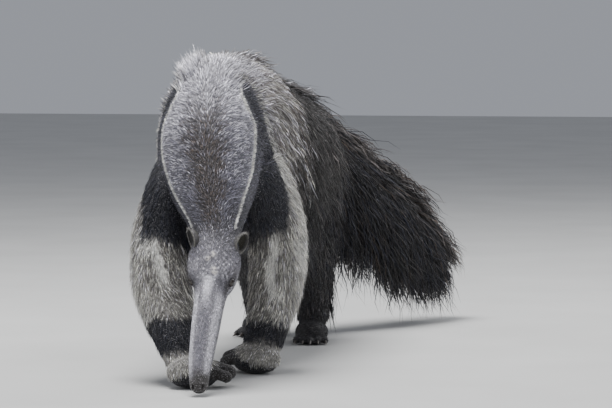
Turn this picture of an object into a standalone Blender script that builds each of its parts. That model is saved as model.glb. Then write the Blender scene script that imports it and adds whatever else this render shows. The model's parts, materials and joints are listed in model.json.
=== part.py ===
"""Giant anteater at life size, walking with its snout held just above the floor.

Metres, +Z up. The animal faces -Y with its left side at +X, and stands on the floor at z = 0.
The outer faces are the surface of the coat.
"""

import math
import random
from collections import Counter, namedtuple

import bmesh
import bpy
from mathutils import Matrix, Vector
from mathutils.bvhtree import BVHTree

# Points are given from the floor under the shoulders. The model's origin is the middle of its floor plan.
GROUND_MIDDLE = Vector((0.074, 0.422, 0.0))

GAP = 0.0003  # left between two pieces that touch
SLIVER = 0.00003  # narrower faces are closed up
CUT_MARGIN = 1.0  # how far a cutter runs past the body
BODY_VOXEL = 0.007
BODY_TRIANGLES = 3000
SMOOTHINGS = 6
SPINE_SIDES = 32
TAIL_SIDES = 20
LEG_SIDES = 24
FINGER_SIDES = 12
TOE_SIDES = 10
HORN_SIDES = 7
STEPS = 4  # rings from one section to the next

Section = namedtuple("Section", "at side up down")
X_AXIS = Vector((1, 0, 0))

# Rump to skull: centre of each section, half width, and reach above and below the centre.
SPINE = [
    Section((0.000, 0.768, 0.410), 0.052, 0.050, 0.066),
    Section((0.000, 0.720, 0.405), 0.100, 0.094, 0.116),
    Section((0.000, 0.610, 0.392), 0.127, 0.138, 0.154),
    Section((0.000, 0.440, 0.392), 0.131, 0.160, 0.168),
    Section((-0.002, 0.270, 0.402), 0.135, 0.177, 0.178),
    Section((-0.006, 0.120, 0.420), 0.131, 0.194, 0.182),
    Section((-0.010, 0.010, 0.428), 0.123, 0.180, 0.174),
    Section((-0.006, -0.065, 0.415), 0.105, 0.140, 0.142),
    Section((0.009, -0.130, 0.366), 0.085, 0.096, 0.106),
    Section((0.024, -0.178, 0.314), 0.062, 0.066, 0.076),
    Section((0.032, -0.208, 0.271), 0.046, 0.048, 0.056),
]
# Skull to snout tip.
FACE = [
    Section((0.034, -0.240, 0.228), 0.0500, 0.0420, 0.0500),
    Section((0.0360, -0.2620, 0.200), 0.0435, 0.0370, 0.0440),
    Section((0.0357, -0.2820, 0.174), 0.0302, 0.0325, 0.0375),
    Section((0.0353, -0.3320, 0.110), 0.0264, 0.0266, 0.0296),
    Section((0.0350, -0.3720, 0.056), 0.0220, 0.0212, 0.0230),
    Section((0.0374, -0.3955, 0.022), 0.0181, 0.0166, 0.0180),
]
SNOUT_TIP_ROUND = 0.016

# Tail from root to end: the flesh and the inner half of its long hair.
TAIL = [
    Section((0.000, 0.680, 0.412), 0.070, 0.078, 0.080),
    Section((0.006, 0.750, 0.418), 0.062, 0.084, 0.096),
    Section((0.036, 0.825, 0.394), 0.054, 0.080, 0.114),
    Section((0.092, 0.910, 0.342), 0.048, 0.072, 0.122),
    Section((0.154, 1.000, 0.274), 0.044, 0.064, 0.114),
    Section((0.206, 1.080, 0.212), 0.038, 0.050, 0.088),
    Section((0.240, 1.134, 0.166), 0.026, 0.030, 0.050),
]

TAIL_END_ROUND = 0.03

# Foreleg girths from shoulder to wrist: half width, reach forwards, reach backwards.
FORELEG_GIRTHS = [
    (0.050, 0.080, 0.080),
    (0.058, 0.074, 0.080),
    (0.061, 0.064, 0.076),
    (0.056, 0.056, 0.062),
    (0.046, 0.046, 0.046),
    (0.040, 0.036, 0.036),
]
FORELEG_JOINTS = {
    "left": [
        (0.068, -0.010, 0.410), (0.094, 0.030, 0.320), (0.100, 0.052, 0.245),
        (0.097, 0.045, 0.165), (0.086, 0.024, 0.095), (0.074, 0.014, 0.045),
    ],
    "right": [
        (-0.068, -0.020, 0.410), (-0.090, -0.068, 0.320), (-0.097, -0.108, 0.245),
        (-0.082, -0.160, 0.165), (-0.044, -0.218, 0.095), (-0.018, -0.246, 0.045),
    ],
}
HINDLEG_GIRTHS = [
    (0.058, 0.112, 0.104),
    (0.060, 0.100, 0.094),
    (0.052, 0.076, 0.074),
    (0.042, 0.054, 0.056),
    (0.037, 0.042, 0.044),
]
HINDLEG_JOINTS = {
    "left": [
        (0.062, 0.640, 0.385), (0.070, 0.600, 0.290), (0.072, 0.590, 0.205),
        (0.069, 0.622, 0.120), (0.066, 0.650, 0.045),
    ],
    "right": [
        (-0.062, 0.655, 0.385), (-0.072, 0.670, 0.290), (-0.074, 0.686, 0.205),
        (-0.072, 0.748, 0.120), (-0.070, 0.782, 0.045),
    ],
}

# Forepaw: the animal walks on the outer side of its fists, with the great claws folded inwards.
FOREPAW_AT = {"left": Vector((0.066, 0.006, 0)), "right": Vector((0.000, -0.262, 0))}
FOREPAW_TURN = math.radians(22)  # how far the knuckles point back from straight inwards
FIST_HALF_LENGTH = 0.054
FIST_HALF_WIDTH = 0.045
FIST_HEIGHT = 0.066
Finger = namedtuple("Finger", "name root knuckle girth claw_tip")
FINGERS = [
    Finger("second", (0.014, 0.024, 0.038), (0.058, 0.020, 0.021), 0.0125, (0.062, -0.018, 0.006)),
    Finger("third", (0.014, -0.010, 0.046), (0.070, -0.012, 0.026), 0.0150, (0.060, -0.068, 0.006)),
    Finger("fourth", (0.004, -0.030, 0.034), (0.034, -0.040, 0.019), 0.0110, (0.030, -0.078, 0.005)),
]
CLAW_BEND = 0.28  # how far a claw follows its finger before it turns, over its length
FORECLAW_SHARE = 0.72  # claw root girth over the finger's

# Hind foot, flat on the sole with five short toes.
HINDFOOT_AT = {"left": Vector((0.066, 0.628, 0)), "right": Vector((-0.070, 0.760, 0))}
HINDFOOT_TURN = math.radians(8)  # toes out
HINDFOOT_HALF_LENGTH = 0.064
HINDFOOT_HALF_WIDTH = 0.037
HINDFOOT_HEIGHT = 0.056
TOES = 5
TOE_SPREAD = 0.0135
TOE_GIRTH = 0.0085
TOE_LENGTH = 0.022
TOE_NAMES = ["first", "second", "third", "fourth", "fifth"]
HINDCLAW_LENGTH = 0.020

# Joints between nodes.
HEAD_CUT_AT = Vector((0.024, -0.174, 0.318))
HEAD_CUT_NORMAL = Vector((0.18, -0.60, -0.78))
HEAD_CLEAR = 0.006  # how far the cutter for the neck's front end stands out from the head
NECK_CUT_AT = Vector((-0.008, -0.060, 0.415))
NECK_CUT_NORMAL = Vector((0.10, -0.88, -0.46))
TAIL_CUT_AT = Vector((0.010, 0.785, 0.405))
TAIL_CUT_NORMAL = Vector((0.22, 0.90, -0.38))
WRIST_HEIGHT = 0.074
ANKLE_HEIGHT = 0.066
LEG_CUT_SLOPE = math.radians(52)
# The haunch's round top, where the cut meets the belly, the column below, and the foot's own space.
LegCut = namedtuple("LegCut", "top inner reach front back foot_x foot_y")
LEG_CUTS = {
    "foreleg_left": LegCut(
        (0, 0.020, 0.385), (0.030, 0.262), 0.100, 0.160, 0.140, (-0.3, 0.3), (-0.110, 0.20)
    ),
    "foreleg_right": LegCut(
        (0, -0.060, 0.385), (0.030, 0.262), 0.100, 0.300, 0.140, (-0.3, 0.3), (-0.45, -0.110)
    ),
    "hindleg_left": LegCut(
        (0, 0.620, 0.370), (0.022, 0.246), 0.118, 0.160, 0.170, (0.0, 0.3), (0.45, 0.84)
    ),
    "hindleg_right": LegCut(
        (0, 0.655, 0.370), (0.022, 0.246), 0.118, 0.160, 0.240, (-0.3, 0.0), (0.45, 0.95)
    ),
}
FOOT_SPACE_TOP = 0.130

# Long hair. A row of locks runs along a form, at an angle round it (a quarter turn is its top) and between
# two shares of its length. Lie is where a lock leaves its root, and fall where it ends up, each given along
# the form, out from it, across its top and downwards.
SEED = 13
LOCK_SIDES = 4
LOCK_FLATNESS = 0.30  # thickness over width
LOCK_STATIONS = [(0.0, 0.95), (0.34, 1.0), (0.70, 0.64), (1.0, 0.0)]  # place along it, share of its width
LOCK_SUNK = 0.016  # depth of its root
LOCK_SPREAD = 0.16  # radians that a lock strays from its row's lie
LOCK_STRAY = 9  # degrees that its root strays round the form
LOCK_PLACE_STRAY = 0.25  # share of the spacing that it strays along the row
LOCK_SIZES = (0.85, 1.15)  # shares of the row's length and width
FLOOR_CLEAR = 0.012  # lowest point of hanging hair
# Locks on edge stand like blades along the form's middle.
Row = namedtuple("Row", "angle first last count length width lie fall on_edge", defaults=(False,))
TAIL_ROWS = [
    Row(90, 0.10, 0.90, 9, 0.180, 0.032, (1.0, 0.80, 0.0, 0.0), (1.0, 0.10, 0.0, 0.40), True),
    Row(148, 0.10, 0.92, 7, 0.210, 0.034, (0.9, 0.36, 0.0, 0.2), (0.75, 0.10, 0.0, 0.7)),
    Row(32, 0.10, 0.92, 7, 0.210, 0.034, (0.9, 0.36, 0.0, 0.2), (0.75, 0.10, 0.0, 0.7)),
    Row(200, 0.14, 0.94, 7, 0.220, 0.034, (0.6, 0.26, 0.0, 0.6), (0.40, 0.0, 0.0, 1.0)),
    Row(-20, 0.14, 0.94, 7, 0.220, 0.034, (0.6, 0.26, 0.0, 0.6), (0.40, 0.0, 0.0, 1.0)),
    Row(-90, 0.24, 0.97, 9, 0.210, 0.034, (0.6, 0.50, 0.0, 0.6), (0.40, 0.0, 0.0, 1.0), True),
]
TORSO_ROWS = [
    Row(90, 0.03, 0.32, 6, 0.150, 0.022, (-1.0, 0.50, 0.0, 0.0), (-1.0, 0.05, 0.0, 0.0), True),
    Row(90, 0.34, 0.60, 6, 0.110, 0.020, (-1.0, 0.44, 0.0, 0.0), (-1.0, 0.05, 0.0, 0.0), True),
    Row(-42, 0.27, 0.57, 10, 0.170, 0.025, (-0.7, 0.10, 0.0, 0.7), (-0.60, -0.30, 0.0, 1.0)),
    Row(222, 0.27, 0.57, 10, 0.170, 0.025, (-0.7, 0.10, 0.0, 0.7), (-0.60, -0.30, 0.0, 1.0)),
]
FORELEG_ROWS = [
    Row(-90, 0.40, 0.88, 5, 0.095, 0.020, (1.0, 0.45, 0.0, 0.1), (1.0, 0.15, 0.0, 0.2), True),
]
HINDLEG_ROWS = [
    Row(-90, 0.28, 0.80, 5, 0.120, 0.024, (1.0, 0.45, 0.0, 0.1), (1.0, 0.10, 0.0, 0.2), True),
]
# Which forms a node's locks are kept clear of.
LOCK_ORDER = [
    ("torso", ["hindleg_left", "hindleg_right", "foreleg_left", "foreleg_right", "neck", "tail"]),
    ("foreleg_left", ["torso", "forepaw_left", "neck", "foreclaw_third_left"]),
    ("foreleg_right", ["torso", "forepaw_right", "neck"]),
    ("hindleg_left", ["torso", "hindfoot_left", "hindleg_right", "hindfoot_right", "tail"]),
    ("hindleg_right", ["torso", "hindfoot_right", "hindleg_left", "hindfoot_left", "tail"]),
    ("tail", ["torso", "hindleg_left", "hindleg_right", "hindfoot_left", "hindfoot_right"]),
]

# Head details.
HEAD_SIDES = 22
HEAD_POWER = 2.15
EYE_RADIUS = 0.0080
EYE_SECTION = 1.30  # sections past the first of the face
EYE_ANGLE = math.radians(10)  # above the widest line of the head
EYE_SUNK = 0.62  # share of its radius that lies under the coat
LID_GIRTH = 0.0026
LID_SHAPE = (1.28, 0.86)  # along the head, and across it, in eye radii
EAR_SECTION = -0.55  # before the first of the face
EAR_ANGLES = {"left": math.radians(14), "right": math.radians(138)}  # the head is turned a little
EAR_LENGTH = 0.042
EAR_WIDTH = 0.030
EAR_DEPTH = 0.013
EAR_WALL = 0.0028
EAR_FOOT = 0.24  # share of its length that lies in the head
# Along the head's side, its crown and its length: where the ear points and where its cup opens.
EAR_POINTS = Vector((0.40, 0.10, -0.91))
EAR_OPENS = Vector((0.80, 0.34, 0.49))
MOUTH_ANGLE = math.radians(-24)
MOUTH_LENGTH = 0.019
MOUTH_HEIGHT = 0.0060
LIP_GIRTH = 0.0026
LIP_SUNK = 0.0014
MOUTH_GAP = 0.0016
NOSTRIL_ANGLE = math.radians(44)
NOSTRIL_TURN = math.radians(34)
NOSTRIL_SIZE = (0.0026, 0.0042)
NOSTRIL_RIM = 0.0014
NOSTRIL_DEPTH = 0.006

COLOURS = {
    "grey_brown_coat": ((0.130, 0.115, 0.110), 0.85),
    "grey_face": ((0.190, 0.175, 0.180), 0.80),
    "pale_leg_coat": ((0.420, 0.390, 0.340), 0.85),
    "black_coat": ((0.018, 0.017, 0.019), 0.80),
    "tail_coat": ((0.024, 0.020, 0.020), 0.80),
    "bare_skin": ((0.060, 0.050, 0.050), 0.60),
    "claw_horn": ((0.075, 0.068, 0.066), 0.45),
    "eye": ((0.010, 0.007, 0.006), 0.10),
}

MATERIAL_OF = [
    ("head", "grey_face"),
    ("ear", "grey_face"),
    ("eye", "eye"),
    ("tail", "tail_coat"),
    ("foreleg", "pale_leg_coat"),
    ("hindleg", "black_coat"),
    ("forepaw", "pale_leg_coat"),
    ("hindfoot", "black_coat"),
    ("foreclaw", "claw_horn"),
    ("hindclaw", "claw_horn"),
]


def placed(point):
    """A point measured from under the shoulders, in the model's own frame."""
    return Vector(point) - GROUND_MIDDLE


def clear_scene():
    for found in list(bpy.data.objects):
        bpy.data.objects.remove(found, do_unlink=True)


def make_materials():
    made = {}
    for name, (colour, roughness) in COLOURS.items():
        material = bpy.data.materials.new(name)
        material.use_nodes = True
        shader = material.node_tree.nodes["Principled BSDF"]
        shader.inputs["Base Color"].default_value = (*colour, 1.0)
        shader.inputs["Roughness"].default_value = roughness
        shader.inputs["Metallic"].default_value = 0.0
        material.diffuse_color = (*colour, 1.0)
        made[name] = material
    return made


def collection_named(name):
    collection = bpy.data.collections.new(name)
    bpy.context.scene.collection.children.link(collection)
    return collection


def object_from(bm, name, collection):
    bmesh.ops.triangulate(bm, faces=bm.faces)
    bm.normal_update()
    bmesh.ops.recalc_face_normals(bm, faces=bm.faces)
    mesh = bpy.data.meshes.new(name)
    bm.to_mesh(mesh)
    bm.free()
    made = bpy.data.objects.new(name, mesh)
    collection.objects.link(made)
    return made


def baked(obj):
    """Replaces an object's mesh by what its modifiers make of it."""
    graph = bpy.context.evaluated_depsgraph_get()
    old = obj.data
    mesh = bpy.data.meshes.new_from_object(obj.evaluated_get(graph))
    obj.modifiers.clear()
    obj.data = mesh
    bpy.data.meshes.remove(old)
    return obj


def catmull(a, b, c, d, t):
    """A value between b and c on the smooth curve through all four."""
    return 0.5 * (2 * b + (c - a) * t + (2 * a - 5 * b + 4 * c - d) * t * t + (3 * b - a - 3 * c + d) * t**3)


def run_through(sections, steps):
    """Sections on a smooth curve through the given ones."""
    rows = [(placed(s.at), Vector((s.side, s.up, s.down))) for s in sections]
    rows = [rows[0], *rows, rows[-1]]
    found = []
    for k in range(1, len(rows) - 2):
        for step in range(steps):
            found.append([catmull(*(rows[k + j][i] for j in (-1, 0, 1, 2)), step / steps) for i in (0, 1)])
    found.append(list(rows[-1]))
    return found


def frames_along(sections, steps, side_axis):
    """Centre, side, up and forward directions and sizes of each ring of a loft."""
    rows = run_through(sections, steps)
    found = []
    for k, (centre, size) in enumerate(rows):
        ahead = rows[min(k + 1, len(rows) - 1)][0]
        behind = rows[max(k - 1, 0)][0]
        forward = (ahead - behind).normalized()
        side = (side_axis - forward * side_axis.dot(forward)).normalized()
        found.append((centre, side, forward.cross(side), forward, size))
    return found


def ring_point(frame, angle, power=2.0):
    """A point of a section: 0 is its side, a quarter turn its top."""
    centre, side, up, _, size = frame
    c, s = math.cos(angle), math.sin(angle)
    across = math.copysign(abs(c) ** (2 / power), c) * size[0]
    over = math.copysign(abs(s) ** (2 / power), s) * (size[1] if s > 0 else size[2])
    return centre + side * across + up * over


def domed(frames, length, rounds=3):
    """Adds shrinking rings past the last one, so that the loft ends in a dome."""
    centre, side, up, forward, size = frames[-1]
    more = []
    for k in range(1, rounds + 1):
        turn = 0.5 * math.pi * k / (rounds + 0.35)
        more.append((centre + forward * length * math.sin(turn), side, up, forward, size * math.cos(turn)))
    return frames + more


def loft(name, frames, collection, sides=24, power=2.0, pointed=False):
    """A closed tube through the frames' sections, which may end in a point."""
    bm = bmesh.new()
    rings = [
        [bm.verts.new(ring_point(frame, math.tau * k / sides, power)) for k in range(sides)]
        for frame in (frames[:-1] if pointed else frames)
    ]
    for near, far in zip(rings, rings[1:]):
        for k in range(sides):
            n = (k + 1) % sides
            bm.faces.new((near[k], near[n], far[n], far[k]))
    bm.faces.new(rings[0])
    if pointed:
        tip = bm.verts.new(frames[-1][0])
        for k in range(sides):
            bm.faces.new((rings[-1][k], rings[-1][(k + 1) % sides], tip))
    else:
        bm.faces.new(rings[-1])
    return object_from(bm, name, collection)


def ball(name, at, radii, turn, collection, segments=20, rings=12):
    """An ellipsoid, turned and moved into place."""
    bm = bmesh.new()
    bmesh.ops.create_uvsphere(bm, u_segments=segments, v_segments=rings, radius=1.0)
    bm.transform(Matrix.Translation(at) @ turn @ Matrix.Diagonal((*radii, 1)))
    return object_from(bm, name, collection)


def paw_frame(side):
    """Matrix whose X points to the knuckles, inwards, and whose Y points ahead."""
    inwards = math.pi - FOREPAW_TURN if side == "left" else FOREPAW_TURN
    x = Vector((math.cos(inwards), math.sin(inwards), 0))
    y = Vector((x.y, -x.x, 0)) if side == "right" else Vector((-x.y, x.x, 0))
    y = y if y.y < 0 else -y
    made = Matrix((x, y, Vector((0, 0, 1)))).transposed().to_4x4()
    made.translation = placed(FOREPAW_AT[side])
    return made


def foot_frame(side):
    """Matrix whose X points to the little toe's side, outwards, and whose Y points ahead."""
    out = 1 if side == "left" else -1
    y = Vector((out * math.sin(HINDFOOT_TURN), -math.cos(HINDFOOT_TURN), 0))
    x = Vector((-y.y, y.x, 0)) * out
    made = Matrix((x, y, Vector((0, 0, 1)))).transposed().to_4x4()
    made.translation = placed(HINDFOOT_AT[side])
    return made


def leg_sections(joints, girths):
    return [Section(at, *girth) for at, girth in zip(joints, girths)]


def capsule_frames(start, end, girth, end_girth, steps=3):
    """Frames of a straight round finger between two points."""
    forward = (end - start).normalized()
    side = forward.orthogonal().normalized()
    up = forward.cross(side)
    return [
        (
            start.lerp(end, k / steps), side, up, forward,
            Vector((1, 1, 1)) * (girth + (end_girth - girth) * k / steps),
        )
        for k in range(steps + 1)
    ]


def fist_shapes(side, collection):
    frame = paw_frame(side)
    made = [
        ball(
            f"fist_{side}", frame @ Vector((0, 0, FIST_HEIGHT * 0.46)),
            (FIST_HALF_LENGTH, FIST_HALF_WIDTH, FIST_HEIGHT * 0.54), frame.to_3x3().to_4x4(), collection,
        )
    ]
    for finger in FINGERS:
        root, knuckle = frame @ Vector(finger.root), frame @ Vector(finger.knuckle)
        frames = capsule_frames(root, knuckle, finger.girth, finger.girth)
        made.append(loft(f"finger_{side}", domed(frames, finger.girth), collection, FINGER_SIDES))
    return made


def toe_root(frame, k):
    """Where toe k leaves the hind foot; the middle toe stands furthest ahead."""
    across = (k - (TOES - 1) / 2) * TOE_SPREAD
    ahead = HINDFOOT_HALF_LENGTH * (0.80 - 0.10 * abs(k - (TOES - 1) / 2))
    return frame @ Vector((across, ahead, TOE_GIRTH * 1.5))


def toe_end(frame, k):
    across = (k - (TOES - 1) / 2) * TOE_SPREAD * 1.12
    ahead = HINDFOOT_HALF_LENGTH * (0.80 - 0.10 * abs(k - (TOES - 1) / 2)) + TOE_LENGTH
    return frame @ Vector((across, ahead, TOE_GIRTH * 0.95))


def hindfoot_shapes(side, collection):
    frame = foot_frame(side)
    made = [
        ball(
            f"sole_{side}", frame @ Vector((0, 0, HINDFOOT_HEIGHT * 0.36)),
            (HINDFOOT_HALF_WIDTH, HINDFOOT_HALF_LENGTH, HINDFOOT_HEIGHT * 0.60),
            frame.to_3x3().to_4x4(), collection,
        )
    ]
    for k in range(TOES):
        frames = capsule_frames(toe_root(frame, k), toe_end(frame, k), TOE_GIRTH, TOE_GIRTH * 0.9)
        made.append(loft(f"toe_{side}", domed(frames, TOE_GIRTH), collection, TOE_SIDES))
    return made


def join(objects, name):
    """Joins meshes into the first object, overlaps and all."""
    bm = bmesh.new()
    for obj in objects:
        bm.from_mesh(obj.data)
    collection = objects[0].users_collection[0]
    for obj in objects:
        bpy.data.objects.remove(obj, do_unlink=True)
    mesh = bpy.data.meshes.new(name)
    bm.to_mesh(mesh)
    bm.free()
    made = bpy.data.objects.new(name, mesh)
    collection.objects.link(made)
    return made


def blended_body(collection):
    """The whole animal as one closed surface, its parts blended where they meet."""
    shapes = [
        loft("spine", frames_along(SPINE + FACE[:2], STEPS, X_AXIS), collection, SPINE_SIDES, HEAD_POWER),
        loft("tail", domed(frames_along(TAIL, STEPS, -X_AXIS), TAIL_END_ROUND), collection, TAIL_SIDES),
    ]
    for side in ("left", "right"):
        foreleg = leg_sections(FORELEG_JOINTS[side], FORELEG_GIRTHS)
        hindleg = leg_sections(HINDLEG_JOINTS[side], HINDLEG_GIRTHS)
        shapes.append(loft("foreleg", frames_along(foreleg, STEPS, X_AXIS), collection, LEG_SIDES))
        shapes.append(loft("hindleg", frames_along(hindleg, STEPS, X_AXIS), collection, LEG_SIDES))
        shapes += fist_shapes(side, collection)
        shapes += hindfoot_shapes(side, collection)
    body = join(shapes, "body")
    remesh = body.modifiers.new("blend", "REMESH")
    remesh.mode = "VOXEL"
    remesh.voxel_size = BODY_VOXEL
    smooth = body.modifiers.new("smooth", "SMOOTH")
    smooth.factor = 0.5
    smooth.iterations = SMOOTHINGS
    baked(body)
    thin = body.modifiers.new("thin", "DECIMATE")
    thin.ratio = BODY_TRIANGLES / (2 * len(body.data.polygons))
    thin.use_collapse_triangulate = True
    return baked(body)


def copy_of(obj, name, collection):
    made = bpy.data.objects.new(name, obj.data.copy())
    collection.objects.link(made)
    return made


def boolean(obj, other, operation, solver="EXACT"):
    modifier = obj.modifiers.new("boolean", "BOOLEAN")
    modifier.solver = solver
    modifier.operation = operation
    modifier.object = other
    return baked(obj)


def boolean_all(obj, collection, operation, solver="MANIFOLD"):
    """One Boolean with every mesh of a collection, which are then removed."""
    if not collection.objects:
        return obj
    modifier = obj.modifiers.new("boolean", "BOOLEAN")
    modifier.operation = operation
    modifier.solver = solver
    modifier.operand_type = "COLLECTION"
    modifier.collection = collection
    baked(obj)
    for used in list(collection.objects):
        bpy.data.objects.remove(used, do_unlink=True)
    return obj


def material_of(name):
    for start, material in MATERIAL_OF:
        if name.startswith(start):
            return material
    return "grey_brown_coat"


def keep_largest(obj):
    """Drops every closed surface of the mesh but the one with the most faces."""
    bm = bmesh.new()
    bm.from_mesh(obj.data)
    bmesh.ops.triangulate(bm, faces=bm.faces)
    left, islands = set(bm.faces), []
    while left:
        stack, island = [left.pop()], []
        while stack:
            face = stack.pop()
            island.append(face)
            for edge in face.edges:
                for other in edge.link_faces:
                    if other in left:
                        left.remove(other)
                        stack.append(other)
        islands.append(island)
    islands.sort(key=len)
    spare = [face for island in islands[:-1] for face in island]
    bmesh.ops.delete(bm, geom=spare, context="FACES")
    bm.to_mesh(obj.data)
    bm.free()
    return obj


def without_slivers(obj):
    """Closes up the needle-thin faces that a union can leave."""
    bm = bmesh.new()
    bm.from_mesh(obj.data)
    bmesh.ops.remove_doubles(bm, verts=bm.verts, dist=SLIVER)
    bmesh.ops.triangulate(bm, faces=bm.faces)
    corners = Counter(frozenset(face.verts) for face in bm.faces)
    folded = [face for face in bm.faces if corners[frozenset(face.verts)] > 1]
    bmesh.ops.delete(bm, geom=folded, context="FACES")
    bm.to_mesh(obj.data)
    bm.free()
    return obj


def half_space(name, at, normal, collection, grow=0.0):
    """A block on one side of the plane through a point: the side that the normal points to."""
    bm = bmesh.new()
    bmesh.ops.create_cube(bm, size=2 * CUT_MARGIN)
    turn = normal.to_track_quat("Z", "Y").to_matrix().to_4x4()
    centre = at + normal.normalized() * (CUT_MARGIN - grow)
    bm.transform(Matrix.Translation(centre) @ turn)
    made = object_from(bm, name, collection)
    made.hide_render = True
    made.display_type = "WIRE"
    return made


def box(name, low, high, collection):
    """A cube between two corners."""
    bm = bmesh.new()
    bmesh.ops.create_cube(bm, size=1.0)
    for vert in bm.verts:
        vert.co = Vector([low[i] if vert.co[i] < 0 else high[i] for i in range(3)])
    return object_from(bm, name, collection)


def leg_block(name, collection, grow=0.0):
    """The space of a leg: a rounded haunch with a slanting inner face, the column below, and the foot."""
    cut = LEG_CUTS[name]
    out = 1 if name.endswith("left") else -1
    top = placed(cut.top)
    middle_x = top.x + out * (CUT_MARGIN / 2 - grow)
    bm = bmesh.new()
    bmesh.ops.create_cone(
        bm, cap_ends=True, segments=40, radius1=cut.reach + grow, radius2=cut.reach + grow, depth=CUT_MARGIN
    )
    bm.transform(Matrix.Translation((middle_x, top.y, top.z)) @ Matrix.Rotation(math.pi / 2, 4, "Y"))
    haunch = object_from(bm, name + "_haunch", collection)
    bm = bmesh.new()
    bmesh.ops.create_cube(bm, size=1.0)
    for vert in bm.verts:
        high = vert.co.z > 0
        front = cut.reach if high else cut.front
        back = cut.reach if high else cut.back
        y = top.y - front - grow if vert.co.y < 0 else top.y + back + grow
        vert.co = Vector((middle_x + vert.co.x * CUT_MARGIN, y, top.z if high else FOOT_SPACE_TOP - 0.02))
    block = object_from(bm, name + "_block", collection)
    boolean(block, haunch, "UNION", "MANIFOLD")
    normal = Vector((-out * math.sin(LEG_CUT_SLOPE), 0, math.cos(LEG_CUT_SLOPE)))
    plane_at = placed((out * cut.inner[0], cut.top[1], cut.inner[1])) + normal * grow
    beyond = half_space(name + "_inner", plane_at, normal, collection)
    boolean(block, beyond, "DIFFERENCE", "MANIFOLD")
    low = placed((cut.foot_x[0], cut.foot_y[0], -0.1)) - Vector((grow, grow, 0))
    high = placed((cut.foot_x[1], cut.foot_y[1], FOOT_SPACE_TOP)) + Vector((grow, grow, grow))
    foot = box(name + "_foot", low, high, collection)
    boolean(block, foot, "UNION", "MANIFOLD")
    for used in (haunch, beyond, foot):
        bpy.data.objects.remove(used, do_unlink=True)
    return block


def part_off(body, name, cutter, wide_cutter, collection):
    """Takes what lies in the cutter off the body as a node of its own, with a thin gap between them."""
    piece = copy_of(body, name, collection)
    boolean(piece, cutter, "INTERSECT", "MANIFOLD")
    boolean(body, wide_cutter, "DIFFERENCE", "MANIFOLD")
    for used in (cutter, wide_cutter):
        bpy.data.objects.remove(used, do_unlink=True)
    return keep_largest(piece)


def part_by_plane(body, name, at, normal, parts, cutters):
    return part_off(
        body, name,
        half_space(name + "_cut", at, normal, cutters),
        half_space(name + "_cut_wide", at, normal, cutters, GAP),
        parts,
    )


def grown(frames, by):
    """The same sections a little larger all round, with both ends a little further out."""
    made = [(at, side, up, forward, size + Vector((by, by, by))) for at, side, up, forward, size in frames]
    made[0] = (made[0][0] - made[0][3] * by, *made[0][1:])
    made[-1] = (made[-1][0] + made[-1][3] * by, *made[-1][1:])
    return made


def head_frames(snout=True):
    frames = frames_along(SPINE + FACE, STEPS, X_AXIS)
    return domed(frames, SNOUT_TIP_ROUND, 4) if snout else frames


def seat(at, out, ahead):
    """Matrix at a point of a surface: X along it, Z out of it."""
    x = (ahead - out * ahead.dot(out)).normalized()
    made = Matrix((x, out.cross(x), out)).transposed().to_4x4()
    made.translation = at
    return made


def head_seat(section, angle):
    """The seat at a point of the head, counted in sections from the first of the face."""
    place = (len(SPINE) + section) * STEPS
    k = int(place)
    frames = head_frames(False)
    near = ring_point(frames[k], angle, HEAD_POWER)
    far = ring_point(frames[k + 1], angle, HEAD_POWER)
    step = 0.05
    before, after = (ring_point(frames[k], angle + turn, HEAD_POWER) for turn in (-step, step))
    around = after - before
    out = (far - near).cross(around).normalized()
    out = out if out.dot(near - frames[k][0]) > 0 else -out
    return seat(near.lerp(far, place - k), out, (far - near).normalized())


def ring(name, frame, along, across, girth, collection, sides=16, girth_sides=6):
    """A closed tube that runs around an ellipse in the seat's plane."""
    bm = bmesh.new()
    rows = []
    for k in range(sides):
        turn = math.tau * k / sides
        at = Vector((math.cos(turn) * along, math.sin(turn) * across, 0))
        out = Vector((math.cos(turn) * across, math.sin(turn) * along, 0)).normalized()
        row = []
        for j in range(girth_sides):
            tilt = math.tau * j / girth_sides
            lean = out * math.cos(tilt) + Vector((0, 0, math.sin(tilt)))
            row.append(bm.verts.new(frame @ (at + lean * girth)))
        rows.append(row)
    for k in range(sides):
        near, far = rows[k], rows[(k + 1) % sides]
        for j in range(girth_sides):
            n = (j + 1) % girth_sides
            bm.faces.new((near[j], near[n], far[n], far[j]))
    return object_from(bm, name, collection)


def eye_seat(side):
    return head_seat(EYE_SECTION, EYE_ANGLE if side == "left" else math.pi - EYE_ANGLE)


def tip_seat(angle, turn=0.0):
    """The seat on the round snout tip, raised from straight ahead by an angle and turned to a side."""
    centre, side, up, forward, size = head_frames(False)[-1]
    out = (forward * math.cos(angle) + up * math.sin(angle)) * math.cos(turn) + side * math.sin(turn)
    reach = Vector((size.x, size.y if angle > 0 else size.z, SNOUT_TIP_ROUND))
    local = Vector((out.dot(side) / reach.x, out.dot(up) / reach.y, out.dot(forward) / reach.z))
    return seat(centre + out / local.length, out.normalized(), side)


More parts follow.
